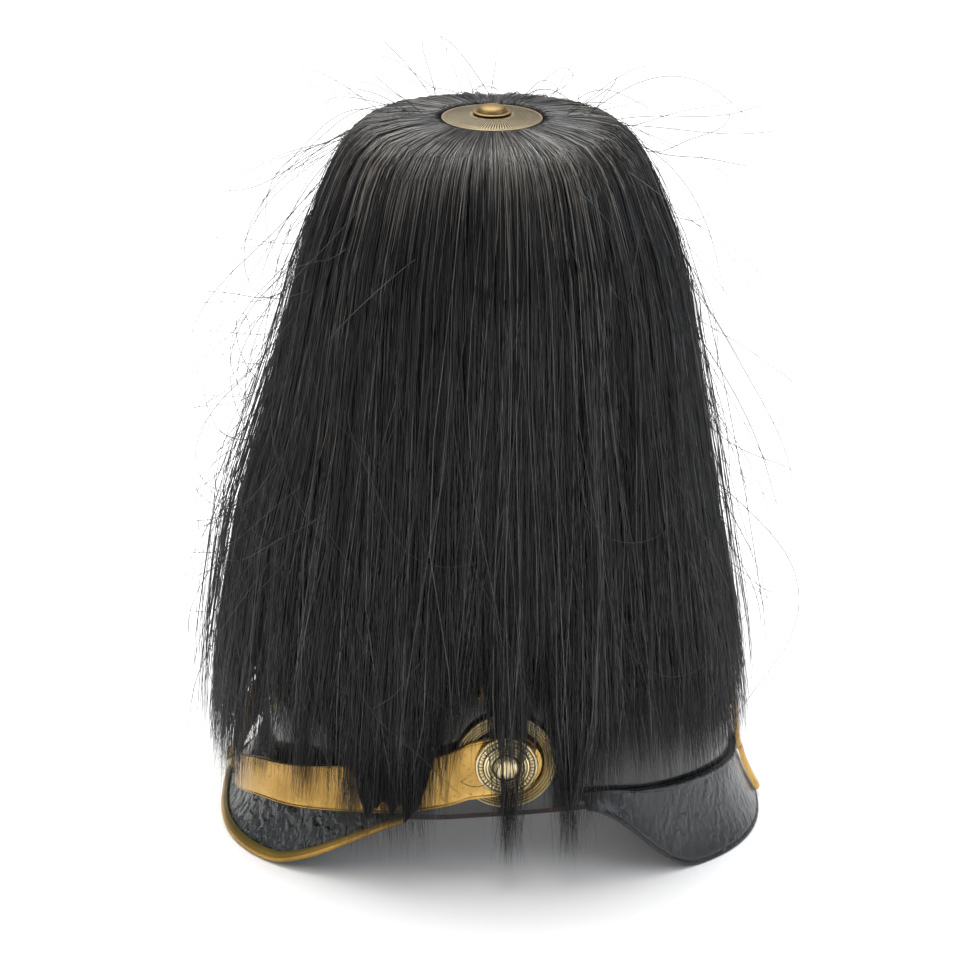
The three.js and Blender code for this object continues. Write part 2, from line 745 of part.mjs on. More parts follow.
function makePlumeHolder() {
  // The plate is dished to the crown, whose profile is the shell's own at the front.
  const crownAt = (radius) => {
    const share = radius / SHELL_FRONT;
    const rise = (1 - share ** SHELL_DOME_POWER) ** (1 / SHELL_DOME_POWER);
    return rimHeight(0) + (SHELL_TOP - rimHeight(0)) * rise;
  };
  const seat = SHELL_TOP + GAP;
  const plate = [
    [0, seat],
    [0.6 * BASE_RADIUS, crownAt(0.6 * BASE_RADIUS) + 2 * GAP],
    [BASE_RADIUS, crownAt(BASE_RADIUS) + 2 * GAP],
    [BASE_RADIUS, crownAt(BASE_RADIUS) + 2 * GAP + BASE_WALL],
    [0.6 * BASE_RADIUS, seat + BASE_WALL],
    [NECK_RADIUS * 1.3, seat + 2 * BASE_WALL],
    [0, seat + 2 * BASE_WALL],
  ];
  addAxial("plume_base", plate, 24, agedBrass);
  const foot = seat + 2 * BASE_WALL + GAP;
  const top = discUnderside - GAP;
  const holder = [
    [0, foot],
    [1.25 * NECK_RADIUS, foot],
    [1.1 * NECK_RADIUS, foot + 0.55 * NECK_RADIUS],
    [NECK_RADIUS, foot + 1.25 * NECK_RADIUS],
    [NECK_RADIUS, top - FUNNEL_HEIGHT],
    [FUNNEL_RADIUS, top - 0.4 * FUNNEL_RADIUS],
    [FUNNEL_RADIUS, top],
    [0, top],
  ];
  addAxial("plume_holder", holder, 16, agedBrass);
}

function makeCap() {
  const R = DISC_RADIUS;
  const floor = DISC_HEIGHT - DISC_DISH;
  const disc = [
    [0, discUnderside],
    [0.9 * R, discUnderside],
    [R, discUnderside + 0.6],
    [R, DISC_HEIGHT - 0.4],
    [0.97 * R, DISC_HEIGHT],
    [0.94 * R, DISC_HEIGHT - 0.2],
    [0.92 * R, DISC_HEIGHT - 0.7],
    [0.66 * R, floor],
    [0, floor],
  ];
  addAxial("cap_disc", disc, 32, agedBrass);
  const r = BUTTON_RADIUS;
  const foot = floor + GAP;
  const button = [
    [0, foot],
    [r, foot],
    [r, foot + 0.2 * BUTTON_DEPTH],
    [0.78 * r, foot + 0.36 * BUTTON_DEPTH],
    [0.74 * r, foot + 0.6 * BUTTON_DEPTH],
    [0.5 * r, foot + 0.9 * BUTTON_DEPTH],
    [0, foot + BUTTON_DEPTH],
  ];
  addAxial("cap_button", button, 24, agedBrass);
}

// The plume is a hollow curtain of locks, joined at a head round the holder's funnel.
function makePlume() {
  const perLock = 3;
  const rows = PLUME_FALL.length - 1;
  const headRows = 3; // rows above the shoulder, which all locks share
  const lockTurn = 360 / PLUME_LOCKS;
  const narrowing = 1 - plumeHalfWidth / plumeReach;
  const hanging = PLUME_FALL.slice(headRows - 1);
  const tipHeight = (azimuth) =>
    DISC_HEIGHT * readTable(PLUME_TIPS, "azimuth", "height", foldAzimuth(azimuth));
  // Each lock has a valley column and two ridge columns.
  const columnAt = (column) => {
    const centre = (Math.floor(column / perLock) + 0.5) * lockTurn;
    const place = column % perLock;
    if (place === 0) {
      const highest = Math.max(tipHeight(centre), tipHeight(centre - lockTurn));
      return { azimuth: centre - lockTurn / 2, ridge: 0, bottom: highest + PLUME_NOTCH };
    }
    const azimuth = centre + (place === 1 ? -1 : 1) * lockTurn * 0.17;
    return { azimuth, ridge: 1, bottom: tipHeight(centre) };
  };
  const skin = (inset) => (u, v) => {
    const { azimuth, ridge, bottom } = columnAt(Math.round(u * PLUME_LOCKS * perLock));
    const index = Math.round(v * rows);
    if (index === 0) {
      const height = DISC_HEIGHT * (1 - PLUME_FALL[0].drop) - inset;
      return polar(azimuth, FUNNEL_RADIUS + 2 * GAP, height);
    }
    // Below the shoulder the rows share out the length of their own lock.
    const shoulder = PLUME_FALL[headRows].drop;
    const stretch = (1 - bottom / DISC_HEIGHT - shoulder) / (PLUME_FALL[rows].drop - shoulder);
    const tableDrop = PLUME_FALL[index].drop;
    const drop = index <= headRows ? tableDrop : shoulder + (tableDrop - shoulder) * stretch;
    const below = index >= headRows;
    const reach = below ? readTable(hanging, "drop", "reach", drop) : PLUME_FALL[index].reach;
    const squeeze = below ? readTable(hanging, "drop", "squeeze", drop) : 0;
    const radius = plumeReach * reach;
    const side = radius * (1 - narrowing * squeeze);
    const plan = planRadius(azimuth, radius, radius, side, lerp(2, PLUME_PLAN_POWER, v));
    const hang = clamp((index - headRows + 2) / 4, 0, 1);
    const relief = PLUME_LOCK_DEPTH * (1 - ridge) * hang;
    const tip = index === rows ? 0.5 : 1;
    // The wall is measured down where the hair lies flat and inwards where it hangs.
    const inwards = inset * tip * hang;
    const downwards = inset * (1 - hang);
    return polar(azimuth, plan - relief - inwards, DISC_HEIGHT * (1 - drop) - downwards);
  };
  const skins = [skin(0), skin(PLUME_WALL)];
  const columns = PLUME_LOCKS * perLock;
  addMesh("plume", wallGeometry(skins, columns, rows, { ring: true }), horsehair);
}

makeShell();
makeSweatband();
makeVisor();
makeVisorTrim();
makeNeckGuard();
makeSideFittings();
makeChinStrap();
makeBuckle();
makeFrontPlate();
makeRearSpine();
makePlumeHolder();
makeCap();
makePlume();

// The origin is the middle of the whole helmet's footprint, on the surface it rests on.
const box = new THREE.Box3().setFromObject(helmet, true);
const centre = box.getCenter(new THREE.Vector3());
helmet.position.set(-centre.x, -centre.y, -box.min.z);

const part = new THREE.Group();
part.name = "pickelhaube";
part.add(helmet);

export default part;
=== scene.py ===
"""Black leather parade helmet with brass fittings and a horsehair plume, dressed over its CAD frame."""

import logging
import math
from dataclasses import dataclass, field
from enum import Enum
from typing import Any, Callable, Sequence

import bpy
import numpy as np
from mathutils import Matrix, Vector


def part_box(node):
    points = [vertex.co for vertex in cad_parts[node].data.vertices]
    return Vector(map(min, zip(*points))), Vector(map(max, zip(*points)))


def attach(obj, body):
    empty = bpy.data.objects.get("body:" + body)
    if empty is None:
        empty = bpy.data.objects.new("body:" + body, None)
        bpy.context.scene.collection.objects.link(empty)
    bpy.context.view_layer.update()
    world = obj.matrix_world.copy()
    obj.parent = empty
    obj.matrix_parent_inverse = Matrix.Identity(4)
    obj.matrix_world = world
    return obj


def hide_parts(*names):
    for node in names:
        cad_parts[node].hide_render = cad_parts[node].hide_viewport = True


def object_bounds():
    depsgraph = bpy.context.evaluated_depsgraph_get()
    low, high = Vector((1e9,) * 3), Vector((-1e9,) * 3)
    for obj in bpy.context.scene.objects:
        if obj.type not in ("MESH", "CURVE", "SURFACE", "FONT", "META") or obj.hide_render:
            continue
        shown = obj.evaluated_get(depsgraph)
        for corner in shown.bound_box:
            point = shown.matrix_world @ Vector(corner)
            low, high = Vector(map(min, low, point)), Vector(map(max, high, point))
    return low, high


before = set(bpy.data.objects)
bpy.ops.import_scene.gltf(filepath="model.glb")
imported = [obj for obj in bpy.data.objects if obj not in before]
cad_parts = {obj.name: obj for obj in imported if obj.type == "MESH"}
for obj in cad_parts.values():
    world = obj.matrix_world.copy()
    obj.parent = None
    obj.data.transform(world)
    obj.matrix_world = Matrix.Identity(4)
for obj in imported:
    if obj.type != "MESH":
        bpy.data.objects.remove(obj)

LOG = logging.getLogger("helmet")
CAD_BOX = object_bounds()
BODY = "root"
MM = 0.001

DISC_LOW, DISC_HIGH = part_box("cap_disc")
AXIS_Y = (DISC_LOW.y + DISC_HIGH.y) / 2  # the plume's axis, which is also the shell's

Place = Callable[[float, float], Vector]
Row = tuple[float, ...]


# Curves and places


def clamp(value: float, low: float = 0.0, high: float = 1.0) -> float:
    """The value, kept between two limits."""
    return max(low, min(high, value))


def mix(a: float, b: float, share: float) -> float:
    """The value a share of the way from a to b."""
    return a + (b - a) * share


def smooth(low: float, high: float, value: float) -> float:
    """An eased step.

    Args:
        low: Where it starts.
        high: Where it ends.
        value: Where it is read.

    Returns:
        0 up to low, 1 from high on, and an eased value between.
    """
    t = clamp((value - low) / (high - low))
    return t * t * (3 - 2 * t)


def polar(azimuth: float, radius: float, height: float) -> Vector:
    """Point at a distance from the axis.

    Args:
        azimuth: Direction in degrees; 0 is the front and 90 the wearer's left.
        radius: Distance from the axis.
        height: Height above the floor.

    Returns:
        The point.
    """
    turn = math.radians(azimuth)
    return Vector((radius * math.sin(turn), AXIS_Y - radius * math.cos(turn), height))


def plan_radius(azimuth: float, front: float, rear: float, half: float, power: float) -> float:
    """Distance from the axis to a rounded-square outline.

    Args:
        azimuth: Direction in degrees.
        front: Reach of the outline to the front.
        rear: Reach to the rear.
        half: Reach to each side.
        power: 2 for an ellipse, more for squarer shoulders.

    Returns:
        The distance.
    """
    c, s = math.cos(math.radians(azimuth)), math.sin(math.radians(azimuth))
    reach = front if c >= 0 else rear
    return ((abs(c) / reach) ** power + (abs(s) / half) ** power) ** (-1 / power)


def curve_point(points: Sequence[Any], i: int, f: float) -> Any:
    """Point of the smooth curve that runs through given points.

    Args:
        points: Vectors or arrays.
        i: The given point before the wanted one.
        f: Share of the way from there to the next.

    Returns:
        The point, of the same kind as the given ones.
    """
    before, after = points[max(i - 1, 0)], points[min(i + 2, len(points) - 1)]
    here, there = points[i], points[i + 1]
    return 0.5 * (
        2 * here
        + (there - before) * f
        + (2 * before - 5 * here + 4 * there - after) * f**2
        + (3 * here - before - 3 * there + after) * f**3
    )


@dataclass(frozen=True)
class Line:
    """A value that changes with a key, eased between its rows of (key, value).

    Args:
        rows: Keys and values, in order.
        level_ends: True where the keys are azimuths, whose lines cross the mirror plane level.
    """

    rows: tuple[Row, ...]
    level_ends: bool = True

    def slope(self, k: int) -> float:
        """Slope at a row.

        Args:
            k: Number of the row.

        Returns:
            Change of the value for each unit of the key.
        """
        if self.level_ends and self.rows[k][0] % 180 == 0:
            return 0.0
        a, b = self.rows[max(k - 1, 0)], self.rows[min(k + 1, len(self.rows) - 1)]
        return (b[1] - a[1]) / (b[0] - a[0])

    def at(self, key: float) -> float:
        """Value at a key.

        Args:
            key: The key; beyond the rows the nearest row counts.

        Returns:
            The value.
        """
        rows = self.rows
        if key <= rows[0][0]:
            return rows[0][1]
        if key >= rows[-1][0]:
            return rows[-1][1]
        i = max(k for k in range(len(rows) - 1) if rows[k][0] <= key)
        span = rows[i + 1][0] - rows[i][0]
        t = (key - rows[i][0]) / span
        return (
            (2 * t**3 - 3 * t**2 + 1) * rows[i][1]
            + (t**3 - 2 * t**2 + t) * span * self.slope(i)
            + (3 * t**2 - 2 * t**3) * rows[i + 1][1]
            + (t**3 - t**2) * span * self.slope(i + 1)
        )

    def around(self, azimuth: float) -> float:
        """Value at an azimuth on either side of the helmet."""
        return self.at(abs((azimuth + 180) % 360 - 180))

    def many(self, keys: np.ndarray) -> np.ndarray:
        """Values at many keys."""
        grid = np.linspace(self.rows[0][0], self.rows[-1][0], 400)
        return np.interp(keys, grid, [self.at(float(k)) for k in grid])


# Sizes that several pieces share, in metres


@dataclass(frozen=True)
class Shape:
    """The helmet's driving sizes, the same as the CAD's."""

    gap: float = 0.3 * MM
    front: float = 114 * MM
    rear: float = 129 * MM
    half_width: float = 94 * MM
    wall: float = 3 * MM
    top: float = 170 * MM
    plan_power: float = 2.15
    dome_power: float = 2.8
    rim: float = 40 * MM
    strap_reach: float = 130 * MM
    strap_wall: float = 1.6 * MM
    fitting_height: float = 69.6 * MM
    fitting_offset: float = 7.8 * MM
    cockade_radius: float = 25.5 * MM
    cockade_depth: float = 3 * MM
    disc_height: float = 371 * MM
    rim_line: Line = Line(
        ((0, 0.77), (45, 0.86), (70, 0.925), (90, 1.0))
        + ((122, 1.03), (134, 0.945), (158, 0.81), (180, 0.62))
    )

    def rim_height(self, azimuth: float) -> float:
        """Height of the shell's rim at an azimuth."""
        return self.rim * self.rim_line.around(azimuth)

    def plan(self, azimuth: float, inset: float = 0.0) -> float:
        """Radius of the shell at its rim."""
        return plan_radius(azimuth, self.front, self.rear, self.half_width, self.plan_power) - inset

    def dome(self, azimuth: float, turn: float, inset: float = 0.0) -> Vector:
        """Point of the skull.

        Args:
            azimuth: Direction in degrees.
            turn: 0 on the rim to a quarter circle on the crown, in radians.
            inset: Depth below the outer face.

        Returns:
            The point.
        """
        share = max(math.cos(turn), 0.0) ** (2 / self.dome_power)
        rise = math.sin(turn) ** (2 / self.dome_power)
        rim = self.rim_height(azimuth)
        return polar(azimuth, self.plan(azimuth, inset) * share, rim + (self.top - inset - rim) * rise)

    def outer(self, azimuth: float, height: float, inset: float = 0.0) -> float:
        """Radius of the skull at a height.

        Args:
            azimuth: Direction in degrees.
            height: Height above the floor.
            inset: Depth below the outer face.

        Returns:
            Distance from the axis.
        """
        rim = self.rim_height(azimuth)
        rise = clamp((height - rim) / (self.top - inset - rim))
        return self.plan(azimuth, inset) * (1 - rise**self.dome_power) ** (1 / self.dome_power)

    @property
    def side_seat(self) -> float:
        """Distance of the cockades' backs from the middle plane."""
        return self.outer(90, self.fitting_height - self.cockade_radius / 2) + self.gap

    @property
    def strap_inner(self) -> float:
        """Distance of the strap's inner face from the middle plane, at the sides."""
        return self.side_seat + self.cockade_depth + 3 * self.gap

    @property
    def strap_outer(self) -> float:
        """Distance of the strap's outer face from the middle plane, at the sides."""
        return self.strap_inner + self.strap_wall


SHAPE = Shape()


@dataclass(frozen=True)
class Brim:
    """Middle surface of the visor or the neck guard.

    Args:
        reach: Distance of the edge from the axis, straight ahead.
        half_width: Distance of the edge from the axis, to the side.
        power: Squareness of the edge's outline.
        lap: How far it runs up the shell.
        end: Azimuth at which it meets the shell's rim.
        wall: Thickness of the leather.
        shoe: How far a metal edge reaches below it.
        rest_turn: Azimuth up to which its edge rests on the floor.
        ease: 0 for a straight rise of the edge, 1 for an S.
        edge_slope: Slope of the leather at the edge, in degrees.
        rest_cut: How much of the edge the flat foot takes off.
        blend: How softly the rise starts.
    """

    reach: float
    half_width: float
    power: float
    lap: float
    end: float
    wall: float
    shoe: float
    rest_turn: float
    ease: float
    edge_slope: float = 50.0
    rest_cut: float = 0.9 * MM
    blend: float = 0.08

    def edge_radius(self, azimuth: float) -> float:
        """Radius of the brim's edge."""
        return plan_radius(azimuth, self.reach, self.reach, self.half_width, self.power)

    def edge_height(self, azimuth: float) -> float:
        """Height of the edge, which rests over its middle and rises to the rim at its ends.

        Args:
            azimuth: Direction in degrees.

        Returns:
            The height.
        """
        slope = math.radians(self.edge_slope)
        below = (self.wall / 2 + self.shoe) * math.cos(slope)
        rest = below + self.shoe * math.sin(slope) - self.rest_cut
        along, resting, ending = (
            abs(self.edge_radius(a) * math.cos(math.radians(a)))
            for a in (azimuth, self.rest_turn, self.end)
        )
        t = (resting - along) / (resting - ending)
        t = min((t + math.hypot(t, self.blend)) / 2, 1.0)  # eases the start of the rise
        return mix(rest, SHAPE.rim_height(self.end), mix(t, t * t * (3 - 2 * t), self.ease))

    def middle(self, azimuth: float, v: float) -> Vector:
        """Point of the middle surface.

        Args:
            azimuth: Direction in degrees.
            v: 0 on the shell to 1 at the edge.

        Returns:
            The point.
        """
        rim = SHAPE.rim_height(azimuth)
        away = self.wall / 2 + 2 * SHAPE.gap
        seam = polar(azimuth, SHAPE.outer(azimuth, rim) + away, rim + self.lap)
        edge = polar(azimuth, self.edge_radius(azimuth), self.edge_height(azimuth))
        knee = seam.lerp(edge, 0.3)
        knee.z = mix(seam.z, edge.z, 0.52)
        return seam * (1 - v) ** 2 + knee * (2 * v * (1 - v)) + edge * v**2

    def axes(self, azimuth: float, v: float) -> tuple[Vector, Vector]:
        """Directions of the brim at a point.

        Args:
            azimuth: Direction in degrees.
            v: 0 on the shell to 1 at the edge.

        Returns:
            Unit vectors out towards the edge and off the upper face.
        """
        low, high = (v - 0.04, v) if v > 0.5 else (v, v + 0.04)
        along = self.middle(azimuth + 0.5, v) - self.middle(azimuth - 0.5, v)
        out = (self.middle(azimuth, high) - self.middle(azimuth, low)).normalized()
        off = out.cross(along).normalized()
        if off.dot(polar(azimuth, 1, 0.5) - Vector((0, AXIS_Y, 0))) < 0:
            off.negate()
        return out, off

    def point(self, azimuth: float, v: float, out: float, off: float) -> Vector:
        """A point off the middle surface, never below what the helmet rests on.

        Args:
            azimuth: Direction in degrees.
            v: 0 on the shell to 1 at the edge.
            out: Distance out past that place.
            off: Distance off the upper face.

        Returns:
            The point.
        """
        out_axis, off_axis = self.axes(azimuth, v)
        spot = self.middle(azimuth, v) + out_axis * out + off_axis * off
        spot.z = max(spot.z, 0.0)
        return spot


VISOR = Brim(136.5 * MM, 96.5 * MM, 2.7, 6 * MM, 66, 2.2 * MM, 1.1 * MM, 34, 0.25)
GUARD = Brim(145 * MM, 98 * MM, 2.5, 8 * MM, 117, 2.4 * MM, 0.0, 145, 1)


# Finishes


Socket = bpy.types.NodeSocket


def linear(code: str) -> tuple[float, float, float, float]:
    """An sRGB hex code as a linear colour.

    Args:
        code: A hash and six hex digits.

    Returns:
        Red, green, blue and 1.
    """
    parts = [int(code.lstrip("#")[i : i + 2], 16) / 255 for i in (0, 2, 4)]
    r, g, b = (p / 12.92 if p <= 0.04045 else ((p + 0.055) / 1.055) ** 2.4 for p in parts)
    return (r, g, b, 1.0)


class Nodes:
    """A shader node tree that is filled node by node."""

    def __init__(self, tree: bpy.types.NodeTree) -> None:
        """Starts with an empty tree."""
        self.tree = tree
        tree.nodes.clear()

    def add(self, kind: str, inputs: dict[Any, Any] | None = None, **settings: Any) -> bpy.types.Node:
        """Adds a node, sets its properties and fills its inputs with values or other nodes' outputs.

        Args:
            kind: Blender's name for the node, without ShaderNode.
            inputs: Input name or number, and the value or output socket it takes.
            settings: Properties of the node.

        Returns:
            The new node.
        """
        node = self.tree.nodes.new("ShaderNode" + kind)
        for name, value in settings.items():
            setattr(node, name, value)
        for key, value in (inputs or {}).items():
            if isinstance(value, Socket):
                self.tree.links.new(value, node.inputs[key])
            else:
                node.inputs[key].default_value = value
        return node

    def noise(self, where: Socket, per_metre: float, detail: float) -> Socket:
        """Cloudy noise with that many clouds in a metre."""
        return self.add("TexNoise", {"Vector": where, "Scale": per_metre, "Detail": detail}).outputs["Fac"]

    def ramp(self, factor: Socket, *stops: tuple[float, str]) -> Socket:
        """A colour ramp.

        Args:
            factor: What drives the ramp.
            stops: Positions and sRGB codes, in order.

        Returns:
            The ramp's colour.
        """
        node = self.add("ValToRGB", {0: factor})
        elements = node.color_ramp.elements
        while len(elements) < len(stops):
            elements.new(0.5)
        for element, (position, code) in zip(elements, stops):
            element.position = position
            element.color = linear(code)
        return node.outputs["Color"]

    def remap(self, value: Socket, span: Row, target: Row = (0.0, 1.0), **settings: Any) -> Socket:
        """A value stretched from one span to another and kept inside it.

        Args:
            value: The value.
            span: Low and high end of what it is read from.
            target: Low and high end of what comes out.
            settings: Properties of the node.

        Returns:
            The stretched value.
        """
        inputs = {"Value": value, "From Min": span[0], "From Max": span[1]}
        inputs |= {"To Min": target[0], "To Max": target[1]}
        return self.add("MapRange", inputs, **settings).outputs[0]

    def maths(self, operation: str, *values: Socket | float) -> Socket:
        """One step of arithmetic."""
        return self.add("Math", dict(enumerate(values)), operation=operation).outputs[0]

    def stretch(self, where: Socket, scale: Row) -> Socket:
        """Coordinates scaled along each axis."""
        return self.add("Mapping", {"Vector": where, "Scale": scale}).outputs[0]

    def bump(
        self, height: Socket, strength: float, depth: float, below: Socket | None = None, **settings: Any
    ) -> Socket:
        """Relief, laid over another relief where one is given.

        Args:
            height: Height, from 0 to 1.
            strength: How much of it counts.
            depth: What a height of 1 stands for, in metres.
            below: The relief below it.
            settings: Properties of the node.

        Returns:
            The relief's normals.
        """
        inputs = {"Height": height, "Strength": strength, "Distance": depth}
        if below is not None:
            inputs["Normal"] = below
        return self.add("Bump", inputs, **settings).outputs[0]


class Surface(Nodes):
    """A material's tree: the principled shader, its output and the object's own coordinates."""

    def __init__(self, tree: bpy.types.NodeTree) -> None:
        """Adds what every material has."""
        super().__init__(tree)
        self.shader = self.add("BsdfPrincipled")
        self.add("OutputMaterial", {"Surface": self.shader.outputs[0]})
        self.where = self.add("TexCoord").outputs["Object"]

    def drive(self, name: str, source: Socket) -> None:
        """Feeds one of the shader's inputs."""
        self.tree.links.new(source, self.shader.inputs[name])


@dataclass(frozen=True)
class Finish:
    """What every finish has: a name, the record's slot and one material."""

    name: str
    slot: str

    def material(self) -> bpy.types.Material:
        """The finish's material, made once.

        Returns:
            The material.
        """
        made = bpy.data.materials.get(self.name)
        if made is None:
            made = bpy.data.materials.new(self.name)
            made.use_nodes = True
            self.dress(Surface(made.node_tree))
        return made

    def dress(self, surface: Surface) -> None:
        """Sets the shader's colour, roughness and relief."""
        raise NotImplementedError


@dataclass(frozen=True)
class PatentLeather(Finish):
    """Cowhide under black lacquer: a clear gloss over a dark, slightly blue ground.

    The lacquer clouds over in spots of 36 mm, the hide's grain of 1 mm shows through it, and where
    the leather was bent it lies in wrinkles some `craze_mm` apart.
    """

    ground: str = "#08090a"
    haze: str = "#131518"
    roughness: tuple[float, float] = (0.14, 0.28)
    clouds_per_metre: float = 28.0
    grain_per_metre: float = 900.0
    grain_depth: float = 0.15 * MM
    waves_per_metre: float = 45.0
    wave_depth: float = 0.9 * MM
    craze_mm: float = 5.5
    craze_depth: float = 0.0
    coat: float = 0.4

    def dress(self, surface: Surface) -> None:
        """Clouded gloss, fine grain and soft waves; wrinkles where the leather was bent.

        Args:
            surface: The material's nodes.
        """
        shader = surface.shader
        clouds = surface.noise(surface.where, self.clouds_per_metre, 4.0)
        grain = surface.noise(surface.where, self.grain_per_metre, 3.0)
        surface.drive("Base Color", surface.ramp(clouds, (0.35, self.ground), (0.7, self.haze)))
        surface.drive("Roughness", surface.remap(clouds, (0.3, 0.7), self.roughness))
        shader.inputs["IOR"].default_value = 1.5
        shader.inputs["Coat Weight"].default_value = self.coat
        shader.inputs["Coat Roughness"].default_value = 0.08
        relief = surface.bump(grain, 0.25, self.grain_depth)
        waves = surface.noise(surface.where, self.waves_per_metre, 2.0)
        relief = surface.bump(waves, 0.5, self.wave_depth, relief)
        if self.craze_depth:
            relief = self.wrinkles(surface, relief)
        surface.drive("Normal", relief)

    def wrinkles(self, surface: Surface, relief: Socket) -> Socket:
        """Meandering wrinkles, coarse and fine, deeper in patches of 30 mm.

        Args:
            surface: The material's nodes.
            relief: What they are laid over.

        Returns:
            The relief with the wrinkles.
        """
        # the wrinkles run down the slope, so the pattern is drawn out along z
        drawn = surface.stretch(surface.where, (1.0, 1.0, 0.42))
        meander = surface.add("TexNoise", {"Vector": surface.where, "Scale": 85.0, "Detail": 3.0})
        push = surface.add("VectorMath", {0: meander.outputs["Color"], 3: 7 * MM}, operation="SCALE")
        warped = surface.add("VectorMath", {0: drawn, 1: push.outputs[0]}, operation="ADD").outputs[0]
        patches = surface.noise(surface.where, 32.0, 1.0)
        worn = surface.remap(patches, (0.36, 0.58), (0.3, 1.0))
        for size, depth in ((self.craze_mm * 1.6, 1.0), (self.craze_mm * 0.8, 0.5)):
            swell = surface.noise(warped, 1000 / size, 1.0)
            fold = surface.maths("ABSOLUTE", surface.maths("SUBTRACT", swell, 0.5))
            line = surface.remap(fold, (0.0, 0.2), interpolation_type="SMOOTHSTEP")
            height = surface.maths("MULTIPLY", line, worn)
            relief = surface.bump(height, 1.0, self.craze_depth * depth, relief)
        return relief


@dataclass(frozen=True)
class WornLeather(Finish):
    """Unlacquered brown sheepskin, rubbed dark and dull, with a pebbled grain of a millimetre."""

    def dress(self, surface: Surface) -> None:
        """Uneven brown in spots of 17 mm over the pebbled grain.

        Args:
            surface: The material's nodes.
        """
        clouds = surface.noise(surface.where, 60.0, 5.0)
        shade = surface.ramp(clouds, (0.3, "#1a120d"), (0.5, "#33221a"), (0.72, "#4c3325"))
        surface.drive("Base Color", shade)
        surface.shader.inputs["Roughness"].default_value = 0.66
        pebbles = surface.add("TexVoronoi", {"Vector": surface.where, "Scale": 1000.0}).outputs["Distance"]
        surface.drive("Normal", surface.bump(pebbles, 0.5, 0.3 * MM))


@dataclass(frozen=True)
class Brass(Finish):
    """Sheet brass: gilt where it was polished, olive and brown where it tarnished and where shade is painted in.

    It carries spots of 2.4 mm, polishing scratches some 0.6 mm apart and dents of 14 mm. The mesh's
    darkening attribute, 0 on high ground to 1 in a groove, darkens the recesses of turned pieces, partly
    as tarnish and partly as painted shade, and the visor trim's upper face as painted shade.
    """

    bright: str
    dull: str
    # dark colour of the spots, of the tarnish and of the painted shade
    patina: str = "#2a2213"
    roughness: tuple[float, float] = (0.2, 0.34)
    cloud_mm: float = 30.0
    specks_per_metre: float = 420.0
    scratches_per_metre: float = 1600.0
    dents_per_metre: float = 70.0

    def dress(self, surface: Surface) -> None:
        """Clouded tone, dark recesses, small spots and faint polishing scratches.

        Args:
            surface: The material's nodes.
        """
        where = surface.where
        clouds = surface.noise(where, 1000 / self.cloud_mm, 5.0)
        metal = surface.ramp(clouds, (0.34, self.dull), (0.62, self.bright))
        specks = surface.noise(where, self.specks_per_metre, 4.0)
        # real spots, plus the mesh's darkening: tarnish and painted shade in recesses, painted shade on the
        # trim's upper face
        recess = surface.add("Attribute", attribute_name="patina").outputs["Fac"]
        spotted = surface.remap(specks, (0.6, 0.78), (0.0, 0.45))
        dirt_and_shade = surface.maths("MAXIMUM", spotted, recess)
        # painted shade: cut grooves are darkened in colour as well as cut in relief
        groove = self.grooves(surface)
        if groove is not None:
            shaded = surface.maths("MULTIPLY", groove, 0.95)
            dirt_and_shade = surface.maths("MAXIMUM", dirt_and_shade, shaded)
        tone = surface.add("Mix", {"Factor": dirt_and_shade, 6: metal, 7: linear(self.patina)}, data_type="RGBA")
        surface.drive("Base Color", tone.outputs[2])
        surface.shader.inputs["Metallic"].default_value = 1.0
        rough = surface.remap(clouds, (0.3, 0.7), self.roughness[::-1])
        surface.drive("Roughness", surface.maths("MULTIPLY_ADD", dirt_and_shade, 0.3, rough))
        along = surface.stretch(where, (1.0, 0.12, 1.0))
        scratches = surface.noise(along, self.scratches_per_metre, 2.0)
        relief = surface.bump(scratches, 0.12, 0.08 * MM)
        dents = surface.noise(where, self.dents_per_metre, 2.0)
        relief = surface.bump(dents, 0.3, 0.35 * MM, relief)
        if groove is not None:
            relief = surface.bump(groove, 1.0, 0.5 * MM, relief, invert=True)
        surface.drive("Normal", relief)

    def grooves(self, surface: Surface) -> Socket | None:
        """Where the metal is cut, from 0 to 1; plain brass has no cuts."""
        return None


@dataclass(frozen=True)
class MilledBrass(Brass):
    """Turned brass whose face carries a border of fine slanted cuts about a millimetre apart."""

    cuts: int = 104
    inner: float = 10.8 * MM
    outer: float = 22.6 * MM
    edge_blur: float = 0.3 * MM
    slant: float = 900.0

    def grooves(self, surface: Surface) -> Socket | None:
        """Cuts round the plume's axis, fading out at both sides of the border.

        Args:
            surface: The material's nodes.

        Returns:
            Depth of the cuts, from 0 to 1.
        """
        axes = surface.add("SeparateXYZ", {0: surface.where}).outputs
        aside = surface.maths("SUBTRACT", axes["Y"], AXIS_Y)
        turn = surface.maths("ARCTAN2", aside, axes["X"])
        flat = surface.add("CombineXYZ", {0: axes["X"], 1: aside}).outputs[0]
        reach = surface.add("VectorMath", {0: flat}, operation="LENGTH").outputs["Value"]
        shift = surface.maths("MULTIPLY", reach, self.slant)
        phase = surface.maths("MULTIPLY_ADD", turn, float(self.cuts), shift)
        cut = surface.remap(surface.maths("SINE", phase), (0.1, 0.9))
        for edge, blur in ((self.inner, self.edge_blur), (self.outer, -self.edge_blur)):
            fade = surface.remap(reach, (edge - blur, edge + blur))
            cut = surface.maths("MULTIPLY", cut, fade)
        return cut


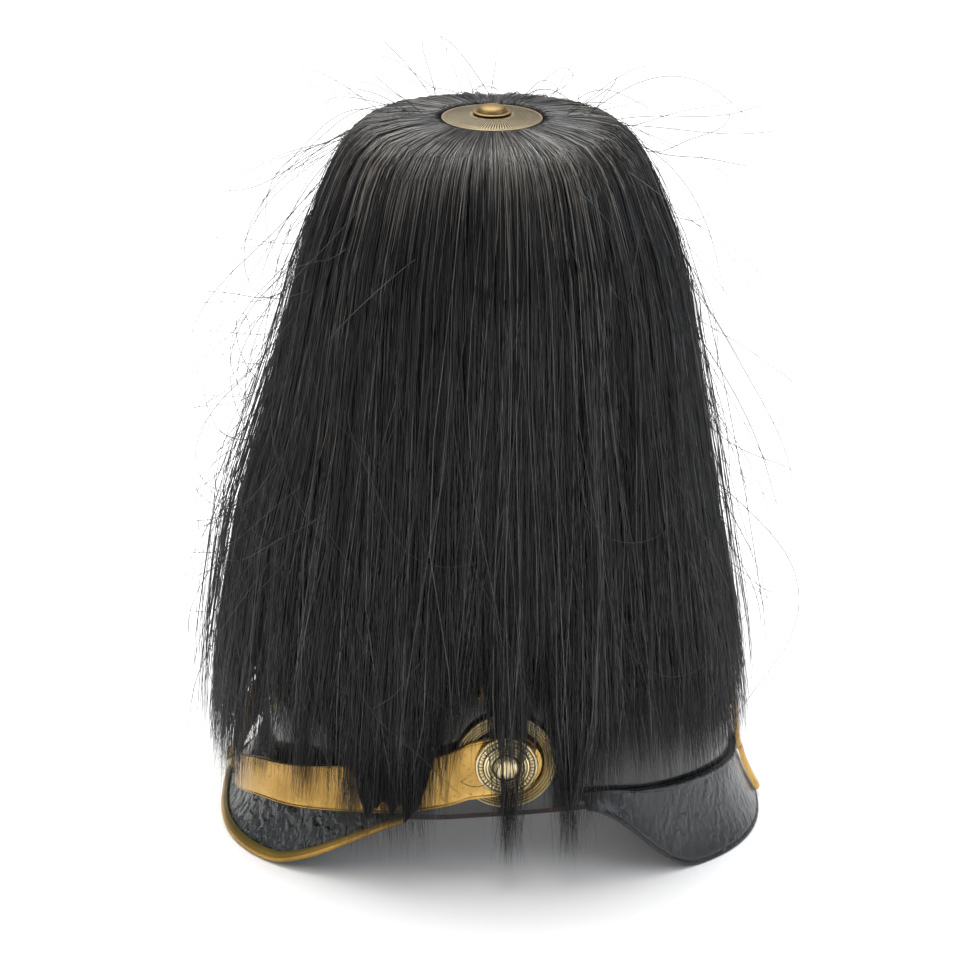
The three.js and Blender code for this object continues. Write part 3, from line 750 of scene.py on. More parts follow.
@dataclass(frozen=True)
class Horsehair(Finish):
    """Black tail hair: nearly black, with bluish and brownish hairs and a satin sheen along each one.

    The mesh's `tone` attribute is one number for each hair, a little higher on the crown, where it is painted
    sheen.
    """

    tones: tuple[tuple[float, str], ...] = (
        (0.0, "#030405"),
        (0.4, "#0c0f12"),
        (0.62, "#26211d"),
        (0.8, "#3d3e41"),
        (1.0, "#77726b"),
    )
    roughness: tuple[float, float] = (0.5, 0.26)
    gloss: float = 0.5

    def dress(self, surface: Surface) -> None:
        """Each hair keeps one tone, a little uneven along its length; pale hairs are the sleeker ones.

        Args:
            surface: The material's nodes.
        """
        tone = surface.add("Attribute", attribute_name="tone").outputs["Fac"]
        uneven = surface.noise(surface.where, 60.0, 2.0)
        shifted = surface.maths("MULTIPLY_ADD", uneven, 0.3, -0.15)
        blended = surface.maths("ADD", tone, shifted)
        surface.drive("Base Color", surface.ramp(blended, *self.tones))
        surface.drive("Roughness", surface.remap(tone, (0.0, 1.0), self.roughness))
        surface.shader.inputs["IOR"].default_value = 1.55
        surface.shader.inputs["Specular IOR Level"].default_value = self.gloss


@dataclass(frozen=True)
class HairMass(Finish):
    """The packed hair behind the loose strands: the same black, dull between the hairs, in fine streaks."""

    def dress(self, surface: Surface) -> None:
        """Streaks about a millimetre wide down the piece's own UV map.

        Args:
            surface: The material's nodes.
        """
        uv = surface.add("UVMap", uv_map="UVMap").outputs[0]
        streaks = surface.noise(surface.stretch(uv, (900.0, 6.0, 1.0)), 1.0, 3.0)
        shade = surface.ramp(streaks, (0.35, "#030304"), (0.6, "#090a0c"), (0.8, "#121418"))
        surface.drive("Base Color", shade)
        surface.shader.inputs["Roughness"].default_value = 0.6
        surface.shader.inputs["Specular IOR Level"].default_value = 0.12
        surface.drive("Normal", surface.bump(streaks, 0.8, 0.8 * MM))


@dataclass(frozen=True)
class StudioPaper(Finish):
    """The pale paper that the helmet stands on: nearly white and matt."""

    def dress(self, surface: Surface) -> None:
        """One tone without a pattern."""
        inputs = surface.shader.inputs
        inputs["Base Color"].default_value = linear("#f6f6f6")
        inputs["Roughness"].default_value = 0.9
        inputs["Specular IOR Level"].default_value = 0.1


class Finishes(Enum):
    """The finishes of the helmet's pieces."""

    # the skull, whose lacquer is whole and reflects the lights sharply
    GLOSS_LEATHER = PatentLeather("gloss_black_leather", "black_leather")
    # the visor, whose lacquer lies in deep wrinkles that catch the light
    CRAZED_LEATHER = PatentLeather(
        "crazed_black_leather",
        "black_leather",
        ground="#101214",
        haze="#1f2326",
        roughness=(0.22, 0.34),
        craze_depth=1.6 * MM,
        coat=0.3,
    )
    # the neck guard, greyer and duller, with shallow wrinkles
    FINE_CRAZED_LEATHER = PatentLeather(
        "finely_crazed_black_leather",
        "black_leather",
        ground="#0c0d0f",
        haze="#191c1f",
        roughness=(0.28, 0.42),
        craze_mm=4.2,
        craze_depth=0.5 * MM,
        coat=0.2,
    )
    BROWN_LEATHER = WornLeather("worn_brown_leather", "brown_leather")
    # strap, studs and spine, kept polished, so warm and fairly bright
    GILT = Brass("gilt_sheet_brass", "gold_brass", bright="#b89453", dull="#91713a")
    # the visor's edge: bright brass on the lip, olive above it where shade is painted onto the upper face
    TRIM = Brass(
        "gilt_edge_brass",
        "gold_brass",
        bright="#b5904a",
        dull="#8a6c39",
        patina="#4c4a27",
        roughness=(0.26, 0.38),
    )
    # cockades, rosettes, buckle and plate, whose gilding is thin, so pale, with recesses browned by tarnish and
    # painted shade
    AGED = Brass(
        "aged_turned_brass",
        "aged_brass",
        bright="#e8d9b0",
        dull="#c6b07e",
        patina="#3d3422",
        roughness=(0.24, 0.4),
    )
    # the plume's disc, dulled to a pale grey brown
    PALE = MilledBrass(
        "milled_pale_brass",
        "pale_brass",
        bright="#998c73",
        dull="#776b55",
        patina="#2f281b",
        roughness=(0.42, 0.52),
    )
    # the disc's button, as dull but yellower
    BUTTON = Brass(
        "gilt_turned_brass", "pale_brass", bright="#8d774f", dull="#675436", roughness=(0.46, 0.56)
    )
    HAIR = Horsehair("black_horsehair", "horsehair")
    HAIR_MASS = HairMass("packed_black_horsehair", "horsehair")


# Modelling helpers


def select_only(obj: bpy.types.Object) -> None:
    """Makes one object the active and only selected one."""
    bpy.ops.object.select_all(action="DESELECT")
    obj.select_set(True)
    bpy.context.view_layer.objects.active = obj


def edit(obj: bpy.types.Object, work: Callable[[], None]) -> None:
    """Runs operators in edit mode with everything selected.

    Args:
        obj: The object to work on.
        work: What runs.
    """
    select_only(obj)
    bpy.ops.object.mode_set(mode="EDIT")
    bpy.ops.mesh.select_all(action="SELECT")
    work()
    bpy.ops.object.mode_set(mode="OBJECT")


def shaped_grid(name: str, across: int, along: int, place: Place, capped: bool = False) -> bpy.types.Object:
    """A grid primitive whose points are moved to their places, joined where they meet and closed.

    Args:
        name: The new piece's name.
        across: Faces along u.
        along: Faces along v.
        place: Point for u and v, each from 0 to 1.
        capped: True fills open ends.

    Returns:
        The piece, with its UV map running from 0 to 1 both ways.
    """
    bpy.ops.object.select_all(action="DESELECT")
    bpy.ops.mesh.primitive_grid_add(x_subdivisions=across, y_subdivisions=along, size=1)
    obj = bpy.context.active_object
    obj.name = obj.data.name = name
    for vertex in obj.data.vertices:
        vertex.co = place(clamp(vertex.co.x + 0.5), clamp(vertex.co.y + 0.5))

    def close() -> None:
        """Joins the seams, caps the ends and turns the faces outwards."""
        bpy.ops.mesh.remove_doubles(threshold=0.002 * MM)
        if capped:
            bpy.ops.mesh.select_all(action="DESELECT")
            bpy.ops.mesh.select_non_manifold(extend=False)
            bpy.ops.mesh.fill_holes(sides=0)
            bpy.ops.mesh.select_all(action="SELECT")
        bpy.ops.mesh.normals_make_consistent(inside=False)

    edit(obj, close)
    return obj


def contour_place(contour: Sequence[Row], section: Callable[[float, Row], Vector]) -> Place:
    """Place function of a piece with one closed contour, carried along a path.

    Args:
        contour: Points of the section; the last joins the first.
        section: Point of the piece for a share of the path and a contour point.

    Returns:
        A function of u round the contour and v along the path.
    """
    count = len(contour)
    return lambda u, v: section(v, contour[round(u * count) % count])


def shares(radius: float, depth: float, rows: Sequence[Row]) -> list[Row]:
    """Rings of a turned piece, from rows of shares of its radius and depth, and of darkening by tarnish and
    painted shade.
    """
    return [(share * radius, down * depth, patina) for share, down, patina in rows]


def turned(name: str, sides: int, rings: Sequence[Row]) -> bpy.types.Object:
    """A turned piece: a disc whose face is extruded and resized ring by ring, as on a lathe.

    Args:
        name: The piece's name.
        sides: Sides of each ring.
        rings: Radius, depth and darkening of each ring, from the back's edge to the middle of the face; the
            darkening is tarnish, dark paint and painted shade in grooves.

    Returns:
        The piece round the z axis, its back at z = 0, with an attribute for that darkening.
    """
    bpy.ops.object.select_all(action="DESELECT")
    bpy.ops.mesh.primitive_circle_add(
        vertices=sides, radius=rings[0][0], fill_type="NGON", location=(0, 0, 0)
    )
    obj = bpy.context.active_object
    obj.name = obj.data.name = name
    bpy.ops.object.mode_set(mode="EDIT")
    bpy.ops.mesh.select_all(action="SELECT")
    radius, depth = rings[0][0], 0.0
    for ring in rings[1:]:
        bpy.ops.mesh.extrude_region_move(TRANSFORM_OT_translate={"value": (0, 0, ring[1] - depth)})
        share = ring[0] / radius
        bpy.ops.transform.resize(value=(share, share, 1), center_override=(0, 0, ring[1]))
        radius, depth = ring[0], ring[1]
    bpy.ops.mesh.poke()
    bpy.ops.mesh.select_all(action="SELECT")
    bpy.ops.mesh.normals_make_consistent(inside=False)
    bpy.ops.object.mode_set(mode="OBJECT")
    # each point takes its ring's darkening: tarnish, dark paint and painted shade in grooves
    patina = obj.data.attributes.new("patina", "FLOAT", "POINT")
    for vertex in obj.data.vertices:
        reach = math.hypot(vertex.co.x, vertex.co.y)
        nearest = min(rings, key=lambda r: (r[0] - reach) ** 2 + (r[1] - vertex.co.z) ** 2)
        patina.data[vertex.index].value = nearest[2]
    return obj


def raise_pattern(
    obj: bpy.types.Object, inner: float, outer: float, lift: Callable[[float, float], float]
) -> None:
    """Moves the face of a turned piece up and down between two radii, and darkens its valleys with tarnish and
    painted shade.

    Args:
        obj: The turned piece, still round the z axis.
        inner: Smallest radius that moves.
        outer: Largest radius that moves.
        lift: Height for a turn in radians and a share of the way from inner to outer, 0 in a valley.
    """
    patina = obj.data.attributes["patina"].data
    for vertex in obj.data.vertices:
        reach = math.hypot(vertex.co.x, vertex.co.y)
        if inner < reach < outer and vertex.co.z > 0.1 * MM:
            share = (reach - inner) / (outer - inner)
            rise = lift(math.atan2(vertex.co.y, vertex.co.x), share)
            vertex.co.z += rise
            # tarnish and painted shade: the lower a point lies between the beads, the darker
            patina[vertex.index].value = clamp(0.75 - rise / (0.5 * MM))


def settle(obj: bpy.types.Object, matrix: Matrix) -> bpy.types.Object:
    """Moves a piece's mesh to its place and leaves its object at the origin.

    Args:
        obj: The piece.
        matrix: Where it goes.

    Returns:
        The piece.
    """
    obj.data.transform(matrix)
    obj.matrix_world = Matrix.Identity(4)
    return obj


def dress(obj: bpy.types.Object, finish: Finishes, *nodes: str, angle: float = 35.0) -> bpy.types.Object:
    """Gives a piece its finish and its body, and hides the CAD nodes it stands for.

    Args:
        obj: The finished piece.
        finish: Its finish.
        nodes: CAD nodes that it replaces.
        angle: Edges sharper than this stay sharp, in degrees.

    Returns:
        The piece.
    """
    select_only(obj)
    bpy.ops.object.shade_smooth_by_angle(angle=math.radians(angle))
    obj.data.materials.clear()
    obj.data.materials.append(finish.value.material())
    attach(obj, BODY)
    if nodes:
        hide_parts(*nodes)
    LOG.info("%s: %d faces", obj.name, len(obj.data.polygons))
    return obj


# Sub-assemblies


@dataclass
class Skull:
    """The leather shell and its sweatband."""

    columns: int = 160
    rows: int = 44
    band_wall: float = 1.6 * MM
    band_drop: float = 4 * MM
    band_rise: float = 22 * MM

    def shell(self) -> bpy.types.Object:
        """One closed wall: down the outside from the crown, round the rim and up the inside."""
        half = self.rows // 2

        def place(u: float, v: float) -> Vector:
            """Azimuth for u; from the outer pole over the rim to the inner pole for v."""
            azimuth, step = 360 * (u % 1.0), round(v * self.rows)
            inset = 0.0 if step <= half else SHAPE.wall
            turn = (math.pi / 2) * (abs(half - step + (step > half)) / (half if step <= half else half - 1))
            spot = SHAPE.dome(azimuth, min(turn, math.pi / 2), inset)
            if step in (half, half + 1):  # the rim's edges are eased
                spot.z += 0.3 * MM
            return spot

        obj = shaped_grid("leather_shell", self.columns, self.rows, place)
        return dress(obj, Finishes.GLOSS_LEATHER, "shell")

    def sweatband(self) -> bpy.types.Object:
        """A closed ring of soft leather whose lower edge is rolled."""
        # shares of the band's height and of its wall, up the outside and down the inside
        contour = [(i / 8, 0.0) for i in range(9)] + [(1.0, 1.0)]
        contour += [(1 - i / 8, 1.0) for i in range(9)] + [(-0.03, 0.5)]

        def section(v: float, row: Row) -> Vector:
            """Point of the band at an azimuth."""
            azimuth = 360 * (v % 1.0)
            rim = SHAPE.rim_height(azimuth)
            height = rim - self.band_drop + (self.band_drop + self.band_rise) * row[0]
            inside = SHAPE.outer(azimuth, max(height, rim), SHAPE.wall)
            return polar(azimuth, inside - 2 * SHAPE.gap - self.band_wall * row[1], height)

        place = contour_place(contour, section)
        obj = shaped_grid("sweatband_ring", len(contour), self.columns, place)
        return dress(obj, Finishes.BROWN_LEATHER, "sweatband")

    def build(self) -> None:
        """Builds the shell and the sweatband."""
        self.shell()
        self.sweatband()


@dataclass
class Brims:
    """Visor, its brass edge and the neck guard."""

    columns: int = 150
    steps: int = 18
    trim_wall: float = 0.8 * MM
    trim_depth: float = 4.6 * MM
    lip: float = 1.7 * MM
    lip_bend: float = 2.1 * MM
    guard_hem: float = 2.6 * MM

    def leather(
        self, name: str, brim: Brim, start: float, stop: float, finish: Finishes, node: str, hem: float
    ) -> bpy.types.Object:
        """A leather brim with a welt at its seam and, where it has one, a pressed hem line along its edge.

        Args:
            name: The piece's name.
            brim: Its middle surface.
            start: First azimuth.
            stop: Last azimuth.
            finish: Its leather.
            node: The CAD node that it replaces.
            hem: Distance of the hem line from the edge, 0 for none.

        Returns:
            The piece.
        """
        half = brim.wall / 2
        steps = [0, 0.012, 0.03, 0.05, 0.065]
        steps += [mix(0.09, 0.84, i / self.steps) for i in range(self.steps + 1)]
        steps += [0.87, 0.9, 0.92, 0.935, 0.945, 0.955, 0.962, 0.969, 0.976, 0.984]
        turns = (math.pi / 2, 0.9, 0.45, 0, -0.45, -0.9, -math.pi / 2)
        rounding = [(math.sin(t) * half, math.cos(t) * half * 0.7) for t in turns]
        contour: list[Row] = [(v, half, 0.0) for v in steps]
        contour += [(1.0, off, out - half * 0.7) for off, out in rounding]
        contour += [(v, -half, 0.0) for v in reversed(steps[::2])]

        def section(share: float, row: Row) -> Vector:
            """Point of the brim at an azimuth."""
            azimuth = mix(start, stop, share)
            v, off, out = row
            if off == half and v < 1:
                length = (brim.middle(azimuth, 1) - brim.middle(azimuth, 0)).length
                wide = smooth(12 * MM, 30 * MM, length)
                welt = 1.0 * MM * math.sin(math.pi * clamp(v / 0.065)) ** 0.7 if v < 0.065 else 0.0
                line = 0.0
                if hem:
                    away = (1 - v) * length * 1.12 - hem
                    line = -0.45 * MM * math.exp(-((away / (0.55 * MM)) ** 2)) * wide
                off += welt * max(wide, 0.35) + line
            return brim.point(azimuth, v, out, off)

        place = contour_place(contour, section)
        obj = shaped_grid(name, len(contour), self.columns, place, capped=True)
        return dress(obj, finish, node, angle=50)

    def trim(self) -> bpy.types.Object:
        """Brass channel folded round the visor's edge, with a rounded lip."""
        inside = VISOR.wall / 2 + SHAPE.gap
        outside = inside + self.trim_wall
        front, bend = self.lip, self.lip_bend
        corner = [
            (front - bend + bend * math.sin(t), outside - bend + bend * math.cos(t))
            for t in np.linspace(0, math.pi / 2, 6)
        ]
        upper = [(-1.0, inside), (-1.0, outside - 0.25 * MM), (-0.96, outside)]
        upper += [(-0.75, outside), (-0.5, outside), (-0.25, outside), (-0.1, outside)]
        lower = [(x, -y) for x, y in reversed(upper)]
        contour: list[Row] = [(x, y, 1.0) for x, y in upper]
        contour += [(x, y, 0.0) for x, y in corner]
        contour += [(x, -y, 0.0) for x, y in reversed(corner)]
        contour += [(x, y, 1.0) for x, y in lower]
        contour += [(SHAPE.gap, -inside, 0.0), (SHAPE.gap, inside, 0.0)]

        def section(share: float, row: Row) -> Vector:
            """Point of the channel; a third number of 1 counts x in shares of its depth."""
            azimuth = mix(-VISOR.end, VISOR.end, share)
            edge = VISOR.middle(azimuth, 1)
            facet = (edge - VISOR.middle(azimuth, 0.8)).length
            depth = min(self.trim_depth, 1.6 * facet) * (1 - 0.45 * smooth(0.5, 1.0, abs(2 * share - 1)))
            out = row[0] * depth if row[2] else row[0]
            if out >= 0:
                return VISOR.point(azimuth, 1, out, row[1])
            length = (edge - VISOR.middle(azimuth, 0)).length * 1.12
            return VISOR.point(azimuth, clamp(1 + out / length), 0, row[1])

        place = contour_place(contour, section)
        obj = shaped_grid("visor_edge_trim", len(contour), self.columns, place, capped=True)
        patina = obj.data.attributes.new("patina", "FLOAT", "POINT")
        for vertex in obj.data.vertices:  # painted shade: the flat upper face is darkened olive, the lip keeps the bright brass
            spot = vertex.co
            azimuth = math.degrees(math.atan2(spot.x, AXIS_Y - spot.y))
            out = math.hypot(spot.x, spot.y - AXIS_Y) - VISOR.edge_radius(azimuth)
            patina.data[vertex.index].value = 0.85 * smooth(1.2 * MM, 0.0, out)
        return dress(obj, Finishes.TRIM, "visor_trim", angle=40)

    def build(self) -> None:
        """Builds both brims and the trim."""
        worn, fine = Finishes.CRAZED_LEATHER, Finishes.FINE_CRAZED_LEATHER
        self.leather("leather_visor", VISOR, -VISOR.end, VISOR.end, worn, "front_visor", 0)
        self.trim()
        start, stop = GUARD.end, 360 - GUARD.end
        self.leather("leather_neck_guard", GUARD, start, stop, fine, "neck_guard", self.guard_hem)


@dataclass
class ChinStrap:
    """The brass-faced band from lug to lug with its small buckle."""

    plan_power: float = 2.25
    half_height: float = 13.6 * MM
    lug_radius: float = 17 * MM
    stations: int = 220
    buckle_radius: float = 6.4 * MM
    buckle_depth: float = 4 * MM
    middle_line: Line = Line(
        ((0, 0.33), (11, 0.41), (24, 0.555), (36, 0.63), (50, 0.72), (65, 0.79), (78, 0.875), (84, 0.945))
    )
    half_line: Line = Line(
        ((0, 0.71), (11, 0.74), (24, 0.8), (36, 0.87), (50, 0.95), (65, 1.02), (78, 1.07), (84, 1.15))
    )

    def plan(self, azimuth: float, offset: float) -> float:
        """Radius of the band at an azimuth."""
        reach = SHAPE.strap_reach + offset
        return plan_radius(azimuth, reach, reach, SHAPE.strap_inner + offset, self.plan_power)

    def band_at(self, azimuth: float) -> tuple[float, float]:
        """Height of the band, rounded off about the lug.

        Args:
            azimuth: Direction in degrees.

        Returns:
            Height of its middle, and half its width there.
        """
        centre = math.degrees(math.atan2(SHAPE.strap_inner, -SHAPE.fitting_offset))
        reach = math.degrees(self.lug_radius / SHAPE.strap_inner)
        turn = abs(azimuth)
        blend = clamp((turn - 84) / (centre - 84))
        past = clamp((turn - centre) / reach, 0, 0.985)
        middle = mix(self.middle_line.at(turn) * SHAPE.fitting_height, SHAPE.fitting_height, blend)
        half = mix(self.half_line.at(turn) * self.half_height, self.lug_radius, blend)
        return middle, half * math.sqrt(1 - past * past)

    def band(self) -> bpy.types.Object:
        """The band: slightly crowned, with a thin bead along each edge."""
        wall = SHAPE.strap_wall
        outer = [(0.0, 1.0), (0.7, 1.0), (1.15, 0.99), (1.3, 0.965), (1.25, 0.935), (0.95, 0.915), (0.85, 0.89)]
        outer += [(0.9, 0.7), (0.95, 0.45), (1.0, 0.2)]
        rows = outer + [(1.0, 0.0)] + [(x, -y) for x, y in reversed(outer)]
        rows += [(0.0, -0.5), (0.0, 0.0), (0.0, 0.5)]
        contour: list[Row] = [(x * wall, y) for x, y in rows]
        centre = math.degrees(math.atan2(SHAPE.strap_inner, -SHAPE.fitting_offset))
        last = centre + math.degrees(self.lug_radius / SHAPE.strap_inner) * 0.985

        def section(share: float, row: Row) -> Vector:
            """Point of the band; stations crowd together towards the lugs."""
            i = 2 * share - 1
            azimuth = math.copysign(last * math.sin(math.pi / 2 * abs(i) * 0.94) / math.sin(0.47 * math.pi), i)
            middle, half = self.band_at(azimuth)
            return polar(azimuth, self.plan(azimuth, row[0]), middle + half * row[1])

        place = contour_place(contour, section)
        obj = shaped_grid("chin_strap_band", len(contour), self.stations, place, capped=True)
        return dress(obj, Finishes.GILT, "chin_strap", angle=45)

    def buckle(self) -> bpy.types.Object:
        """A domed buckle with a ring round its foot."""
        r, d = self.buckle_radius, self.buckle_depth
        # third numbers: tarnish and painted shade under the dome and at the foot
        foot = ((0.96, 0, 0.2), (1, 0.1, 0.1), (1, 0.22, 0), (0.93, 0.3, 0.1), (0.84, 0.26, 0.9))
        rings = shares(r, d, foot)
        for i in range(9):
            turn = math.radians(10 * i)
            rings.append((0.8 * r * math.cos(turn), 0.3 * d + 0.7 * d * math.sin(turn), 0.35 if i < 2 else 0.0))
        obj = turned("strap_buckle_dome", 48, rings)
        face = SHAPE.strap_reach + SHAPE.strap_wall * 1.02 + SHAPE.gap
        place = Matrix.Translation((0, AXIS_Y - face, self.band_at(0)[0]))
        return dress(settle(obj, place @ Matrix.Rotation(math.pi / 2, 4, "X")), Finishes.AGED, "strap_buckle")

    def build(self) -> None:
        """Builds the band and the buckle."""
        self.band()
        self.buckle()


class Side(Enum):
    """The two sides of the helmet."""

    LEFT = 1
    RIGHT = -1


@dataclass
class SideFittings:
    """Cockade, rosette and stud of each side."""

    rosette_radius: float = 15.6 * MM
    rosette_depth: float = 5.2 * MM
    stud_height: float = 105 * MM
    stud_offset: float = -4 * MM
    stud_radius: float = 3.8 * MM
    beads: int = 44
    ridges: int = 4

    def seat(self, side: Side, face: float, offset: float, height: float) -> Matrix:
        """Where a turned piece sits, its face pointing away from the helmet.

        Args:
            side: The helmet's side.
            face: Distance of its back from the middle plane.
            offset: Distance behind the plume's axis.
            height: Height of its middle.

        Returns:
            The matrix that takes it there.
        """
        turn = Matrix.Rotation(side.value * math.pi / 2, 4, "Y")
        return Matrix.Translation((side.value * face, AXIS_Y + offset, height)) @ turn

    def cockade(self, side: Side) -> bpy.types.Object:
        """A dished ring with four fine ridges round a dark recess."""
        R, D = SHAPE.cockade_radius, SHAPE.cockade_depth
        # third numbers: tarnish and painted shade in the grooves between the ridges, dark paint in the middle
        # recess
        rings = shares(R, D, ((0.96, 0, 0.3), (0.99, 0.2, 0.2), (1, 0.5, 0), (0.985, 0.8, 0)))
        for i in range(self.ridges):
            outer, inner = (mix(0.97, 0.76, (i + k) / self.ridges) for k in (0, 1))
            crest = D * (0.98 - 0.05 * i)
            rings.append((mix(outer, inner, 0.1) * R, crest - 0.05 * D, 0.15))
            rings.append((mix(outer, inner, 0.35) * R, crest, 0.0))
            rings.append((mix(outer, inner, 0.6) * R, crest - 0.06 * D, 0.1))
            rings.append((mix(outer, inner, 0.85) * R, crest - 0.26 * D, 0.65))
        rings += shares(R, D, ((0.745, 0.75, 0.2), (0.73, 0.62, 0.7), (0.72, 0.42, 1.0)))
        rings += shares(R, D, ((0.5, 0.4, 1.0), (0.1, 0.4, 1.0)))
        obj = turned(f"cockade_ring_{side.name.lower()}", 144, rings)
        place = self.seat(side, SHAPE.side_seat, SHAPE.fitting_offset, SHAPE.fitting_height)
        return dress(settle(obj, place), Finishes.AGED, f"cockade_{side.name.lower()}", angle=40)

    def rosette(self, side: Side) -> bpy.types.Object:
        """A turned boss: smooth rim, ring of beads, fine rings and a domed middle."""
        r, d = self.rosette_radius, self.rosette_depth
        # third numbers: tarnish and painted shade in the grooves
        rim = ((0.93, 0, 0.4), (0.98, 0.08, 0.2), (1, 0.22, 0), (0.985, 0.38, 0))
        rim += ((0.95, 0.45, 0), (0.915, 0.42, 0.1), (0.89, 0.32, 0.9))
        beaded = tuple((mix(0.875, 0.745, i / 8), 0.32, 0.6) for i in range(9))
        fine = ((0.73, 0.34, 0.9), (0.71, 0.5, 0.1), (0.67, 0.54, 0), (0.645, 0.46, 0.8))
        fine += ((0.62, 0.52, 0.1), (0.58, 0.55, 0), (0.555, 0.47, 0.8), (0.53, 0.54, 0.1))
        fine += ((0.48, 0.58, 0), (0.455, 0.5, 0.9), (0.43, 0.5, 0.9), (0.4, 0.62, 0.1))
        rings = shares(r, d, rim + beaded + fine)
        for i in range(1, 8):
            turn = math.radians(11 * i)
            rings.append((0.4 * r * math.cos(turn), 0.62 * d + 0.38 * d * math.sin(turn), 0.0))
        obj = turned(f"rosette_boss_{side.name.lower()}", self.beads * 6, rings)
        bead = 0.22 * d

        def lift(turn: float, share: float) -> float:
            """Height of the beads."""
            across = math.sqrt(max(0.0, 1 - (2 * share - 1) ** 2))
            return bead * across * math.sqrt(abs(math.sin(turn * self.beads / 2)))

        raise_pattern(obj, 0.742 * r, 0.878 * r, lift)
        place = self.seat(side, SHAPE.strap_outer + SHAPE.gap, SHAPE.fitting_offset, SHAPE.fitting_height)
        return dress(settle(obj, place), Finishes.AGED, f"rosette_{side.name.lower()}", angle=45)

    def stud(self, side: Side) -> bpy.types.Object:
        """A small domed stud on a flat foot."""
        s = self.stud_radius
        # third numbers: tarnish and painted shade under the dome
        rings = shares(s, s, ((1, 0, 0.3), (1, 0.3, 0), (0.94, 0.38, 0), (0.8, 0.38, 0.7)))
        for i in range(8):
            turn = math.radians(11 * i)
            rings.append((0.76 * s * math.cos(turn), 0.42 * s + 0.68 * s * math.sin(turn), 0.0))
        obj = turned(f"side_stud_dome_{side.name.lower()}", 40, rings)
        face = SHAPE.outer(90, self.stud_height - self.stud_radius) + SHAPE.gap
        place = self.seat(side, face, self.stud_offset, self.stud_height)
        return dress(settle(obj, place), Finishes.GILT, f"side_stud_{side.name.lower()}")

    def build(self) -> None:
        """Builds the fittings of both sides."""
        for side in Side:
            self.cockade(side)
            self.rosette(side)
            self.stud(side)


@dataclass
class SkullBrass:
    """The rayed front plate and the rear spine."""

    half_width: float = 60 * MM
    half_height: float = 46 * MM
    height: float = 102 * MM
    wall: float = 1.4 * MM
    lift: float = 1.2 * MM
    crown: float = 3 * MM
    rays: int = 16
    spine_width: float = 10 * MM
    spine_wall: float = 2.8 * MM
    spine_lift: float = 0.9 * MM

    def plate(self) -> bpy.types.Object:
        """A plain star of folded rays that follows the shell's curve."""
        front = SHAPE.outer(0, self.height)
        rows = 26

        def place(u: float, v: float) -> Vector:
            """Turn round the star for u; up the face from the back's middle, round the edge, for v."""
            step = round(v * rows)
            face = step > rows // 2
            inward = 0.0
            if step not in (0, rows):
                inward = 1 - abs(step - rows // 2 - (0.5 if face else -0.5)) / (rows / 2 - 0.5)
            turn = 2 * math.pi * (u % 1.0)
            wave = math.cos(self.rays * turn)
            share = clamp(inward + 1e-9) * (0.86 + 0.14 * wave)
            aside = self.half_width * share * math.sin(turn)
            up = self.half_height * share * math.cos(turn)
            azimuth, height = math.degrees(aside / front), self.height + up
            fold = 1.1 * MM * wave * smooth(0.25, 0.7, inward)
            boss = 1.2 * MM * (smooth(0.3, 0.24, inward) if inward < 0.3 else 0.0)
            off = SHAPE.gap + self.lift + self.crown * (1 - inward) ** 2 + fold
            off += self.wall + boss if face else 0.0
            return polar(azimuth, SHAPE.outer(azimuth, height) + off, height)

        return dress(shaped_grid("front_plate_star", 192, rows, place), Finishes.AGED, "front_plate", angle=60)

    def spine(self) -> bpy.types.Object:
        """A half-round strip down the back and over the guard, its lower end rounded."""
        path: list[Vector] = []
        seam = SHAPE.rim_height(180) + GUARD.lap
        start = math.asin(0.97)
        for i in range(15):
            turn = mix(start, 0.2, i / 14)
            spot = SHAPE.dome(180, turn)
            if spot.z < seam + 1.2 * self.spine_width:
                break
            share = math.cos(turn) ** (2 / SHAPE.dome_power)
            rise = math.sin(turn) ** (2 / SHAPE.dome_power)
            path.append(spot + Vector((0, share**1.4, rise**2)).normalized() * self.spine_lift)
        for i in range(7):
            path.append(GUARD.point(180, mix(0, 0.94, i / 6), 0, GUARD.wall / 2 + self.spine_lift))
        steps = 120
        fine: list[Vector] = []
        for k in range(steps + 1):
            t = k / steps * (len(path) - 1)
            i = min(int(t), len(path) - 2)
            fine.append(curve_point(path, i, t - i))
        half = self.spine_width / 2
        contour: list[Row] = [(-1.0, 0.0), (-1.0, 0.3), (-0.85, 0.62), (-0.6, 0.88), (-0.3, 1.0), (0.0, 1.05)]
        contour += [(0.3, 1.0), (0.6, 0.88), (0.85, 0.62), (1.0, 0.3), (1.0, 0.0), (0.0, 0.0)]

        def section(share: float, row: Row) -> Vector:
            """Point of the strip."""
            k = round(share * steps)
            tangent = (fine[min(k + 1, steps)] - fine[max(k - 1, 0)]).normalized()
            off = tangent.cross(Vector((1, 0, 0))).normalized()
            if off.y + off.z < 0:
                off.negate()
            rounding = math.sqrt(1 - clamp((share - 0.97) / 0.031, 0, 0.99) ** 2)
            aside = Vector((row[0] * half * rounding, 0, 0))
            return fine[k] + aside + off * row[1] * self.spine_wall * rounding**0.5

        place = contour_place(contour, section)
        obj = shaped_grid("rear_spine_strip", len(contour), steps, place, capped=True)
        return dress(obj, Finishes.GILT, "rear_spine", angle=50)

    def build(self) -> None:
        """Builds the plate and the spine."""
        self.plate()
        self.spine()


